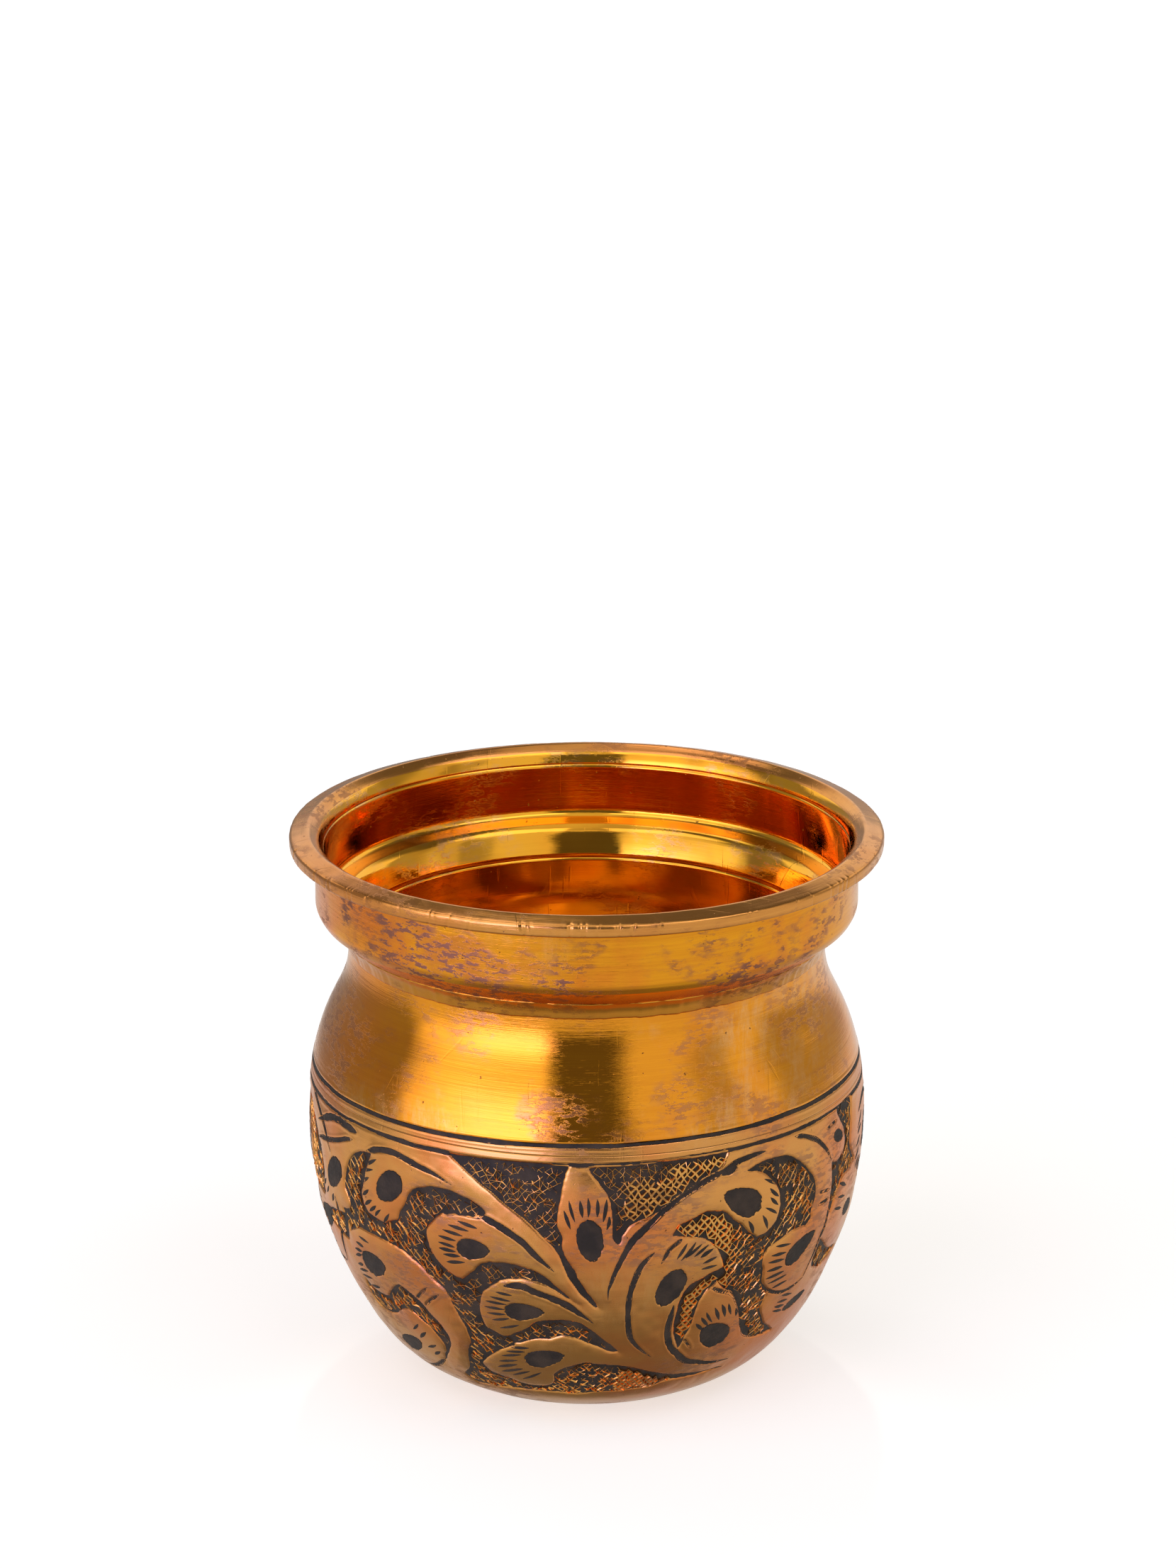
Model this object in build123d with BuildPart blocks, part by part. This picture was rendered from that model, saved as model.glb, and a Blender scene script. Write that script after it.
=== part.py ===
from build123d import *
from math import atan2, cos, degrees, hypot, radians, sin
import os

# A brass kalash: a spun and brazed water pot whose lower body is chased with peacock feathers.
# Millimetres, +Z up, origin at the centre of the flat bottom.
#
# A place on the curved wall is (azimuth, arc): azimuth in degrees is 0 at -Y and grows towards
# +X, and arc is the length up the outer wall from the edge of the flat bottom.

# ---- driving dimensions ----------------------------------------------------------------
LIP_RADIUS = 54.0
LIP_TOP_Z = 102.1
LIP_EDGE_DEPTH = 2.3
LIP_TOP_SLOPE = 0.9
LIP_TOP_WIDTH = 3.5
COLLAR_RADIUS = 49.4
COLLAR_BORE_RADIUS = 47.8
COLLAR_TOP_Z = 98.6
COLLAR_FOOT_Z = 87.0
LEDGE_Z = 88.6
NECK_RADIUS = 43.4
NECK_TOP_Z = 82.0
BASE_RADIUS = 27.5
JOINT_Z = 57.1
JOINT_ARC = 65.4

FLOOR_THICKNESS = 2.4
NECK_THICKNESS = 1.6
LIP_BRAZE_SIZE = 1.1
BELLY_BRAZE_RADIUS = 1.0
BELLY_WALL = 1.85

UPPER_RING_ARC = 67.0
LOWER_RING_ARC = 64.2
RING_WIDTH = 0.75
RING_DEPTH = 0.55

GROUND_DEPTH = 1.0
GROUND_FILL_TOP = 0.35
INLAY_DEPTH = 0.65
INLAY_FILL_TOP = 0.04
BARB_WIDTH = 0.5
CHASED_ARC_START = 5.0
CHASED_ARC_END = 66.0
REACH = 60.0

# Outer wall from the flat bottom to the neck, as (radius, height).
WALL_POINTS = (
    (BASE_RADIUS, 0.0), (33.5, 3.5), (40.7, 11.5), (46.2, 22.5), (50.0, 35.0), (51.1, 46.5),
    (50.3, 58.0), (47.2, 68.0), (44.1, 75.0), (NECK_RADIUS, NECK_TOP_Z),
)

# ---- the chased feathers ---------------------------------------------------------------
# The spray is worked at the front and twice more behind. The flanks have feathers of their own.
SPRAY_TURNS = (0.0, 127.0, 235.0)
HOOK_TURNS = (0.0, 130.0, 237.0)

# Punched ground between the feathers. Each row is a closed outline of edges, corner to corner.
SPRAY_GROUND = (
    (
        ((-29.1, 63.2), (-18.0, 63.5), (-4.0, 63.3)),
        ((-4.0, 63.3), (-5.3, 57.0), (-5.6, 51.0), (-3.4, 44.8), (2.7, 34.8)),
        ((2.7, 34.8), (-3.9, 42.2), (-9.0, 50.0), (-17.8, 56.8), (-29.1, 63.2)),
    ),
    (
        ((0.8, 63.3), (15.0, 63.6), (29.8, 63.5)),
        ((29.8, 63.5), (28.4, 61.9)),
        ((28.4, 61.9), (21.9, 59.8), (13.5, 56.1), (6.6, 49.0)),
        ((6.6, 49.0), (5.0, 53.5), (4.2, 58.0), (0.8, 63.3)),
    ),
    (
        ((17.4, 49.4), (21.9, 52.2), (26.7, 52.9), (31.5, 50.3), (35.4, 46.9)),
        ((35.4, 46.9), (32.5, 44.0), (29.8, 41.8)),
        ((29.8, 41.8), (28.6, 45.0), (25.0, 48.3), (17.4, 49.4)),
    ),
    (
        ((29.6, 41.0), (24.8, 39.4), (20.6, 34.5), (20.2, 28.0), (22.6, 22.8)),
        ((22.6, 22.8), (24.4, 28.5), (25.2, 33.5), (29.6, 41.0)),
    ),
    (
        ((-41.0, 49.6), (-38.4, 54.0), (-33.0, 56.6), (-27.0, 56.3), (-20.8, 53.9)),
        ((-20.8, 53.9), (-26.0, 53.0), (-31.0, 51.6), (-34.6, 48.3)),
        ((-34.6, 48.3), (-41.0, 49.6)),
    ),
    (
        ((-27.0, 38.8), (-23.6, 41.8), (-17.0, 43.8), (-10.5, 42.6), (-4.7, 38.4)),
        ((-4.7, 38.4), (-10.0, 40.5), (-16.0, 40.7), (-24.2, 36.2)),
        ((-24.2, 36.2), (-27.0, 38.8)),
    ),
    (
        ((-21.4, 26.2), (-14.5, 29.0), (-8.5, 31.7), (-1.0, 30.7), (6.4, 25.0)),
        ((6.4, 25.0), (0.4, 27.0), (-5.0, 28.2), (-12.0, 26.8), (-20.0, 24.6)),
        ((-20.0, 24.6), (-21.4, 26.2)),
    ),
    (
        ((-31.0, 36.5), (-24.2, 38.8)),
        ((-24.2, 38.8), (-24.1, 33.0), (-22.8, 28.6), (-20.4, 25.4)),
        ((-20.4, 25.4), (-24.4, 21.0), (-28.6, 18.2)),
        ((-28.6, 18.2), (-29.0, 24.0), (-30.2, 31.0), (-31.0, 36.5)),
    ),
    (
        ((-31.5, 18.3), (-27.2, 17.0), (-21.0, 14.0), (-14.0, 12.4), (-8.8, 13.6)),
        ((-8.8, 13.6), (-8.8, 10.2)),
        ((-8.8, 10.2), (-20.0, 9.9), (-35.0, 9.2)),
        ((-35.0, 9.2), (-34.2, 13.5), (-31.5, 18.3)),
    ),
    (
        ((-9.3, 13.0), (-6.8, 18.2), (0.5, 21.0), (11.4, 18.5), (19.0, 15.9), (28.0, 14.3), (37.0, 13.6)),
        ((37.0, 13.6), (28.0, 12.8), (18.0, 11.6), (5.0, 10.5), (-9.3, 10.2)),
        ((-9.3, 10.2), (-9.3, 13.0)),
    ),
    (
        ((35.0, 59.5), (41.0, 60.2), (47.6, 58.5), (52.6, 54.8), (54.4, 50.0), (53.0, 44.8)),
        ((53.0, 44.8), (47.0, 44.6), (40.4, 45.0)),
        ((40.4, 45.0), (42.9, 50.5), (41.6, 55.6), (35.0, 59.5)),
    ),
    (
        ((34.2, 46.6), (44.8, 44.9)),
        ((44.8, 44.9), (41.0, 38.6), (43.6, 32.6), (44.2, 28.0), (49.0, 22.4)),
        ((49.0, 22.4), (41.8, 23.2), (38.4, 28.6), (34.4, 34.4), (28.6, 40.4)),
        ((28.6, 40.4), (34.2, 46.6)),
    ),
    (
        ((-47.0, 43.3), (-45.0, 46.6), (-40.0, 50.4)),
        ((-40.0, 50.4), (-34.0, 49.4)),
        ((-34.0, 49.4), (-33.8, 43.4), (-25.0, 38.4)),
        ((-25.0, 38.4), (-30.6, 35.4)),
        ((-30.6, 35.4), (-38.0, 40.6), (-47.0, 43.3)),
    ),
)
# The hooked feather low on the left of each spray.
HOOK_GROUND = (
    (
        ((-52.0, 28.6), (-46.0, 33.2), (-38.4, 29.0), (-35.4, 23.0), (-42.0, 14.4)),
        ((-42.0, 14.4), (-38.7, 20.0), (-41.6, 25.6), (-50.4, 26.4)),
        ((-50.4, 26.4), (-52.0, 28.6)),
    ),
)
FLANK_GROUND = (
    (
        ((-49.6, 59.2), (-54.6, 57.9), (-58.8, 53.2), (-59.4, 45.4)),
        ((-59.4, 45.4), (-53.8, 43.4)),
        ((-53.8, 43.4), (-52.0, 47.2), (-52.8, 51.8), (-49.6, 59.2)),
    ),
    (
        ((-55.6, 43.2), (-52.0, 47.0), (-45.0, 46.8)),
        ((-45.0, 46.8), (-46.0, 43.2)),
        ((-46.0, 43.2), (-51.0, 43.6), (-55.6, 43.2)),
    ),
    (
        ((-60.8, 30.0), (-57.0, 28.4), (-53.0, 28.2)),
        ((-53.0, 28.2), (-54.0, 25.0), (-60.0, 25.6), (-60.8, 30.0)),
    ),
    (
        ((-61.0, 44.0), (-66.0, 43.0), (-70.5, 42.6)),
        ((-70.5, 42.6), (-69.0, 39.0), (-62.6, 38.0)),
        ((-62.6, 38.0), (-61.0, 44.0)),
    ),
    (
        ((62.6, 62.8), (67.0, 63.4), (71.0, 61.0), (71.4, 55.6), (74.0, 51.2)),
        ((74.0, 51.2), (66.0, 49.6), (62.0, 44.4)),
        ((62.0, 44.4), (61.2, 50.0), (61.6, 54.8), (66.6, 56.6), (62.6, 62.8)),
    ),
    (
        ((60.4, 38.6), (65.5, 35.6), (76.0, 32.6)),
        ((76.0, 32.6), (68.0, 31.4), (61.0, 32.6)),
        ((61.0, 32.6), (60.4, 38.6)),
    ),
)

# Long tapering cuts: the centre line from tip to tip and the width at the middle.
SPRAY_CUTS = (
    (1.1, (38.6, 62.2), (35.0, 62.0), (28.6, 60.5), (21.9, 58.1), (15.2, 54.4), (9.5, 49.6), (4.6, 37.2)),
    (0.95, (14.0, 46.8), (10.7, 43.3), (9.0, 37.0), (9.6, 29.5), (15.4, 22.2)),
    (1.1, (23.6, 20.6), (29.1, 18.1), (39.6, 16.2)),
    (1.0, (-49.0, 60.0), (-42.7, 61.2), (-35.8, 60.0), (-28.6, 58.1)),
    (1.1, (-19.6, 53.1), (-15.2, 50.4), (-10.5, 46.6), (-6.9, 43.5)),
    (1.2, (-17.6, 39.2), (-10.9, 38.5), (-4.3, 35.7), (1.5, 31.5)),
    (0.75, (47.8, 62.5), (52.4, 61.4), (57.1, 58.5), (60.0, 55.2)),
    (0.7, (45.2, 32.0), (50.5, 30.8), (56.7, 31.6)),
)
FLANK_CUTS = (
    (1.2, (-55.2, 61.9), (-61.5, 62.1), (-72.8, 59.2)),
    (0.8, (-55.6, 60.2), (-61.5, 58.6), (-73.8, 55.4)),
    (0.6, (-40.8, 31.9), (-36.7, 35.4)),
    (0.6, (-38.8, 30.8), (-33.7, 34.4)),
    (0.6, (55.7, 50.0), (60.0, 49.4)),
    (0.6, (55.7, 47.5), (60.0, 47.6)),
)

# Feather eyes: azimuth, arc, half length, half width, tilt of the long axis in degrees.
SPRAY_EYES = (
    (0.7, 49.6, 4.1, 2.3, 97.0), (-43.9, 54.4, 3.9, 2.6, 44.0), (-23.6, 46.1, 3.0, 2.1, 5.0),
    (-13.6, 33.6, 3.3, 2.0, 8.0), (-10.2, 22.0, 3.7, 2.2, 20.0), (33.0, 54.0, 4.4, 2.6, -28.0),
    (17.8, 38.7, 4.1, 2.6, 68.0), (31.2, 25.2, 3.7, 2.8, -42.0), (51.5, 40.1, 4.1, 2.2, 30.0),
)
HOOK_EYES = ((-51.5, 17.5, 3.8, 2.0, 30.0),)
FLANK_EYES = (
    (57.5, 26.3, 3.4, 1.2, 15.0), (63.2, 58.9, 2.0, 1.2, -20.0),
    (73.0, 41.7, 3.0, 1.7, -20.0), (-63.8, 51.6, 3.9, 2.4, 50.0), (-53.0, 36.0, 3.7, 2.6, 15.0),
)

# Fans of barbs: azimuth and arc of the middle, distance out to the first end of a barb, the first
# and last places round the middle, the first and last directions, number of barbs, length.
SPRAY_FANS = (
    (0.6, 49.0, 4.9, 139.0, 45.0, 108.0, 78.0, 7, 3.4), (-44.0, 54.4, 5.3, 130.0, 262.0, 208.0, 232.0, 8, 2.7),
    (-23.6, 46.3, 4.1, 85.0, 235.0, 168.0, 189.0, 7, 3.3), (-13.6, 33.7, 3.9, 118.0, 246.0, 174.0, 197.0, 7, 3.2),
    (-10.2, 22.0, 5.2, 150.0, 252.0, 187.0, 211.0, 7, 3.2), (33.0, 54.0, 5.8, 22.0, -72.0, -32.0, -64.0, 7, 2.6),
    (17.8, 38.7, 6.6, 84.0, 30.0, 57.0, 5.0, 7, 2.8), (31.2, 25.2, 4.1, 146.0, 34.0, 132.0, 102.0, 7, 2.5),
    (51.5, 40.1, 4.9, 152.0, 245.0, 172.0, 190.0, 6, 3.2),
)
HOOK_FANS = ((-51.5, 17.5, 5.8, 58.0, -12.0, 44.0, 30.0, 5, 2.6),)
FLANK_FANS = (
    (-63.8, 51.6, 5.3, 160.0, 285.0, 185.0, 242.0, 7, 2.6),
    (-53.0, 36.0, 4.7, 95.0, 255.0, 172.0, 197.0, 7, 2.5), (57.5, 26.3, 3.8, 134.0, 200.0, 165.0, 190.0, 4, 2.4),
)


# ---- geometry helpers ------------------------------------------------------------------
with BuildLine(Plane.XZ) as wall_line:
    Spline(*WALL_POINTS)
WALL = wall_line.edges()[0]


def wall_point(arc, depth=0.0):
    """Radius and height of a place on the outer wall, or that far below its surface."""
    place = WALL.position_at(arc, position_mode=PositionMode.LENGTH)
    along = WALL.tangent_at(arc, position_mode=PositionMode.LENGTH)
    return place.X - depth * along.Z, place.Z + depth * along.X


def wall_curve(depth, arc_start, arc_end, steps=22):
    """Points on a curve that lies that far below the outer wall."""
    span = arc_end - arc_start
    return [wall_point(arc_start + span * step / steps, depth) for step in range(steps + 1)]


def tangent_plane(azimuth):
    """Upright plane through the axis of the pot that faces out at an azimuth."""
    turn = radians(azimuth)
    return Plane(origin=(0, 0, 0), x_dir=(cos(turn), sin(turn), 0), z_dir=(sin(turn), -cos(turn), 0))


def on_plane(place, azimuth):
    """A place on the wall, in the coordinates of the upright plane at an azimuth."""
    radius, height = wall_point(place[1])
    return radius * sin(radians(place[0] - azimuth)), height


def skin(bottom_depth, top_depth):
    """Thin skin of the chased part of the wall, between two depths."""
    lower = wall_curve(bottom_depth, CHASED_ARC_START, CHASED_ARC_END)
    upper = wall_curve(top_depth, CHASED_ARC_START, CHASED_ARC_END)
    with BuildPart() as layer:
        with BuildSketch(Plane.XZ):
            with BuildLine():
                Spline(*upper)
                Line(upper[-1], lower[-1])
                Spline(*lower)
                Line(lower[0], upper[0])
            make_face()
        revolve(axis=Axis.Z)
    return layer.part


def outline_prism(azimuth, edges):
    """Prism outwards from the axis over a closed outline of edges on the wall."""
    with BuildPart() as prism:
        with BuildSketch(tangent_plane(azimuth)):
            with BuildLine():
                for edge in edges:
                    if len(edge) == 2:
                        Line(*edge)
                    else:
                        Spline(*edge)
            make_face()
        extrude(amount=REACH)
    return prism.part


def ground_prism(edges):
    """Prism over one patch of punched ground."""
    azimuths = [place[0] for edge in edges for place in edge]
    middle = (min(azimuths) + max(azimuths)) / 2
    return outline_prism(middle, [[on_plane(place, middle) for place in edge] for edge in edges])


def tapered_prism(azimuth, width, line):
    """Prism over a cut that tapers to a point at both ends of its centre line."""
    left = [line[0]]
    right = [line[0]]
    for before, place, after in zip(line, line[1:], line[2:]):
        run = atan2(after[1] - before[1], after[0] - before[0])
        left.append((place[0] - width / 2 * sin(run), place[1] + width / 2 * cos(run)))
        right.append((place[0] + width / 2 * sin(run), place[1] - width / 2 * cos(run)))
    left.append(line[-1])
    right.append(line[-1])
    return outline_prism(azimuth, (left, right[::-1]))


def barb_prism(azimuth, width, start, end):
    """Prism over a short straight cut with four straight sides."""
    run = atan2(end[1] - start[1], end[0] - start[0])
    middle = ((start[0] + end[0]) / 2, (start[1] + end[1]) / 2)
    left = (middle[0] - width / 2 * sin(run), middle[1] + width / 2 * cos(run))
    right = (middle[0] + width / 2 * sin(run), middle[1] - width / 2 * cos(run))
    return outline_prism(azimuth, ((start, left), (left, end), (end, right), (right, start)))


def cut_prism(width, places):
    """Prism over one long tapering cut."""
    middle = (places[0][0] + places[-1][0]) / 2
    line = [on_plane(place, middle) for place in places]
    if len(line) == 2:
        return barb_prism(middle, width, *line)
    return tapered_prism(middle, width, line)


def eye_prism(azimuth, arc, half_length, half_width, tilt):
    """Prism over the oval eye of a feather."""
    with BuildPart() as prism:
        with BuildSketch(tangent_plane(azimuth)):
            with Locations(on_plane((azimuth, arc), azimuth)):
                Ellipse(half_length, half_width, rotation=tilt)
        extrude(amount=REACH)
    return prism.part


def fan_prisms(azimuth, arc, reach, place_start, place_end, run_start, run_end, count, length):
    """Prisms over the barbs that stand round the eye of a feather."""
    across, height = on_plane((azimuth, arc), azimuth)
    prisms = []
    for number in range(count):
        share = number / (count - 1)
        place = radians(place_start + share * (place_end - place_start))
        run = radians(run_start + share * (run_end - run_start))
        inner = (across + reach * cos(place), height + reach * sin(place))
        outer = (inner[0] + length * cos(run), inner[1] + length * sin(run))
        prisms.append(barb_prism(azimuth, BARB_WIDTH, inner, outer))
    return prisms


def layer_pieces(prisms, layer):
    """The part of each prism that lies in a skin of the wall."""
    pieces = []
    for prism in prisms:
        with BuildPart() as piece:
            add(prism)
            add(layer, mode=Mode.INTERSECT)
        pieces.append(piece.part)
    return pieces


def turned(rows, turn):
    """Rows of a spray that start with an azimuth and an arc, turned round the pot."""
    return [(row[0] + turn, *row[1:]) for row in rows]


def all_rows(flank, spray, hook):
    """Rows of the flanks, the sprays and the hooked feathers, all round the pot."""
    rows = list(flank)
    for turn in SPRAY_TURNS:
        rows += turned(spray, turn)
    for turn in HOOK_TURNS:
        rows += turned(hook, turn)
    return rows


def turned_places(places, turn):
    return [(azimuth + turn, arc) for azimuth, arc in places]


# ---- what is chased into the wall ------------------------------------------------------
def all_ground_prisms():
    prisms = [ground_prism(edges) for edges in FLANK_GROUND]
    for turns, patches in ((SPRAY_TURNS, SPRAY_GROUND), (HOOK_TURNS, HOOK_GROUND)):
        for turn in turns:
            for edges in patches:
                prisms.append(ground_prism([turned_places(edge, turn) for edge in edges]))
    return prisms


def all_cut_prisms():
    prisms = [cut_prism(width, places) for width, *places in FLANK_CUTS]
    for turn in SPRAY_TURNS:
        for width, *places in SPRAY_CUTS:
            prisms.append(cut_prism(width, turned_places(places, turn)))
    return prisms


def all_eye_prisms():
    return [eye_prism(*row) for row in all_rows(FLANK_EYES, SPRAY_EYES, HOOK_EYES)]


def all_barb_prisms():
    rows = all_rows(FLANK_FANS, SPRAY_FANS, HOOK_FANS)
    return [prism for row in rows for prism in fan_prisms(*row)]


def ring_groove(arc, top_depth):
    """Triangular ring that an engraved line cuts into the wall, up to a depth."""
    half = RING_WIDTH / 2
    with BuildPart() as groove:
        with BuildSketch(Plane.XZ):
            with BuildLine():
                Polyline(
                    wall_point(arc - half, top_depth),
                    wall_point(arc, RING_DEPTH),
                    wall_point(arc + half, top_depth),
                    close=True,
                )
            make_face()
        revolve(axis=Axis.Z)
    return groove.part


# ---- plain brass pieces ----------------------------------------------------------------
def body_shell():
    """The whole spun body, from the flat bottom to the neck, before it is divided."""
    length = WALL.length
    steps = 16
    inner = []
    for step in range(steps + 1):
        share = step / steps
        depth = FLOOR_THICKNESS + share * (NECK_THICKNESS - FLOOR_THICKNESS)
        inner.append(wall_point(share * length, depth))
    inner = [place for place in inner if place[1] > FLOOR_THICKNESS * 1.6]
    inner[-1] = (NECK_RADIUS - NECK_THICKNESS, NECK_TOP_Z)
    inner.insert(0, (BASE_RADIUS, FLOOR_THICKNESS))
    with BuildPart() as shell:
        with BuildSketch(Plane.XZ):
            with BuildLine():
                Spline(*WALL_POINTS)
                Line((NECK_RADIUS, NECK_TOP_Z), inner[-1])
                Spline(*inner[::-1])
                Line(inner[0], (0, FLOOR_THICKNESS))
                Line((0, FLOOR_THICKNESS), (0, 0))
                Line((0, 0), (BASE_RADIUS, 0))
            make_face()
        revolve(axis=Axis.Z)
    return shell.part


def lip_ring():
    """Thick ring with a sloping flat top, a flaring mouth and an upright edge."""
    edge_top = LIP_TOP_Z - LIP_TOP_SLOPE
    edge_bottom = edge_top - LIP_EDGE_DEPTH
    mouth_radius = LIP_RADIUS - LIP_TOP_WIDTH
    with BuildPart() as ring:
        with BuildSketch(Plane.XZ):
            with BuildLine():
                ThreePointArc(
                    (COLLAR_BORE_RADIUS, COLLAR_TOP_Z), (48.5, 100.7), (mouth_radius, LIP_TOP_Z)
                )
                Line((mouth_radius, LIP_TOP_Z), (LIP_RADIUS, edge_top))
                Line((LIP_RADIUS, edge_top), (LIP_RADIUS, edge_bottom))
                Line((LIP_RADIUS, edge_bottom), (LIP_RADIUS - 1.2, COLLAR_TOP_Z))
                Line((LIP_RADIUS - 1.2, COLLAR_TOP_Z), (COLLAR_BORE_RADIUS, COLLAR_TOP_Z))
            make_face()
        revolve(axis=Axis.Z)
    return ring.part


def collar():
    """Upright band that turns in over a ledge and a tapering throat to meet the neck."""
    inner_neck = NECK_RADIUS - NECK_THICKNESS
    with BuildPart() as band:
        with BuildSketch(Plane.XZ):
            with BuildLine():
                Line((NECK_RADIUS, NECK_TOP_Z), (45.3, 83.9))
                Line((45.3, 83.9), (48.6, COLLAR_FOOT_Z - 0.5))
                ThreePointArc(
                    (48.6, COLLAR_FOOT_Z - 0.5), (49.2, COLLAR_FOOT_Z + 0.3),
                    (COLLAR_RADIUS, COLLAR_FOOT_Z + 1.4),
                )
                Line((COLLAR_RADIUS, COLLAR_FOOT_Z + 1.4), (COLLAR_RADIUS, COLLAR_TOP_Z))
                Line((COLLAR_RADIUS, COLLAR_TOP_Z), (COLLAR_BORE_RADIUS, COLLAR_TOP_Z))
                Line((COLLAR_BORE_RADIUS, COLLAR_TOP_Z), (COLLAR_BORE_RADIUS, LEDGE_Z + 0.6))
                ThreePointArc(
                    (COLLAR_BORE_RADIUS, LEDGE_Z + 0.6), (47.6, LEDGE_Z + 0.15), (47.1, LEDGE_Z)
                )
                Line((47.1, LEDGE_Z), (44.9, LEDGE_Z - 0.7))
                ThreePointArc((44.9, LEDGE_Z - 0.7), (44.2, LEDGE_Z - 1.15), (43.7, LEDGE_Z - 2.0))
                Line((43.7, LEDGE_Z - 2.0), (inner_neck, NECK_TOP_Z))
                Line((inner_neck, NECK_TOP_Z), (NECK_RADIUS, NECK_TOP_Z))
            make_face()
        revolve(axis=Axis.Z)
    return band.part


def lip_braze():
    """Fillet of braze in the corner between the collar and the underside of the lip."""
    with BuildPart() as fillet_ring:
        with BuildSketch(Plane.XZ):
            with BuildLine():
                Polyline(
                    (COLLAR_RADIUS, COLLAR_TOP_Z),
                    (COLLAR_RADIUS + LIP_BRAZE_SIZE, COLLAR_TOP_Z),
                    (COLLAR_RADIUS + LIP_BRAZE_SIZE * 0.4, COLLAR_TOP_Z - LIP_BRAZE_SIZE * 0.4),
                    (COLLAR_RADIUS, COLLAR_TOP_Z - LIP_BRAZE_SIZE),
                    close=True,
                )
            make_face()
        revolve(axis=Axis.Z)
    return fillet_ring.part


def neck_braze(shell):
    """Fillet of braze in the crease between the neck and the underside of the collar."""
    with BuildPart() as fillet_ring:
        with BuildSketch(Plane.XZ):
            with BuildLine():
                Polyline(
                    (NECK_RADIUS, NECK_TOP_Z), (45.0, 83.6), (44.1, 82.0), (43.6, 80.0),
                    (NECK_RADIUS - 0.5, 80.4), close=True,
                )
            make_face()
        revolve(axis=Axis.Z)
        add(shell, mode=Mode.SUBTRACT)
    return fillet_ring.part


def belly_braze(shell):
    """Bead of braze round the inside of the seam between bowl and shoulder."""
    radius = wall_point(JOINT_ARC, BELLY_WALL)[0]
    with BuildPart() as bead:
        with BuildSketch(Plane.XZ):
            with Locations((radius, JOINT_Z)):
                RegularPolygon(BELLY_BRAZE_RADIUS, 6)
        revolve(axis=Axis.Z)
        add(shell, mode=Mode.SUBTRACT)
    return bead.part


def shoulder(shell, grooves):
    """Plain upper body with the neck, with the upper engraved ring cut into it."""
    with BuildPart() as dome:
        add(shell)
        split(bisect_by=Plane.XY.offset(JOINT_Z), keep=Keep.TOP)
        add(grooves, mode=Mode.SUBTRACT)
    return dome.part


def bowl(shell, pockets):
    """Lower body with the flat bottom, cut for all the lac."""
    with BuildPart() as base:
        add(shell)
        split(bisect_by=Plane.XY.offset(JOINT_Z), keep=Keep.BOTTOM)
        add(pockets, mode=Mode.SUBTRACT)
    return base.part


def lac_group(pieces):
    """Separate lac fillings kept together as one node."""
    with BuildPart() as group:
        add(pieces)
    return group.part


def write_node(part, name):
    part.label = name
    export_step(part, f"parts/{name}.step")


# ---- the assembly ----------------------------------------------------------------------
os.makedirs("parts", exist_ok=True)

ground_prisms = all_ground_prisms()
cut_prisms = all_cut_prisms()
eye_prisms = all_eye_prisms()
barb_prisms = all_barb_prisms()

ground_pockets = lac_group(layer_pieces(ground_prisms, skin(GROUND_DEPTH, -0.5)))
inlay_pockets = layer_pieces(cut_prisms + eye_prisms + barb_prisms, skin(INLAY_DEPTH, -0.5))
inlay_skin = skin(INLAY_DEPTH, INLAY_FILL_TOP)

spun_body = body_shell()
upper_groove = ring_groove(UPPER_RING_ARC, -0.1)
lower_groove = ring_groove(LOWER_RING_ARC, -0.1)

write_node(lip_ring(), "lip_ring")
write_node(collar(), "collar")
write_node(shoulder(spun_body, [upper_groove]), "shoulder")
write_node(bowl(spun_body, [lower_groove, ground_pockets, *inlay_pockets]), "bowl")
write_node(lip_braze(), "lip_braze")
write_node(neck_braze(spun_body), "neck_braze")
write_node(belly_braze(spun_body), "belly_braze")
write_node(ring_groove(UPPER_RING_ARC, INLAY_FILL_TOP), "upper_ring_lac")
write_node(ring_groove(LOWER_RING_ARC, INLAY_FILL_TOP), "lower_ring_lac")
write_node(lac_group(layer_pieces(ground_prisms, skin(GROUND_DEPTH, GROUND_FILL_TOP))), "ground_lac")
write_node(lac_group(layer_pieces(cut_prisms, inlay_skin)), "stem_cut_lac")
write_node(lac_group(layer_pieces(eye_prisms, inlay_skin)), "feather_eye_lac")
write_node(lac_group(layer_pieces(barb_prisms, inlay_skin)), "barb_lac")
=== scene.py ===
import math

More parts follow.
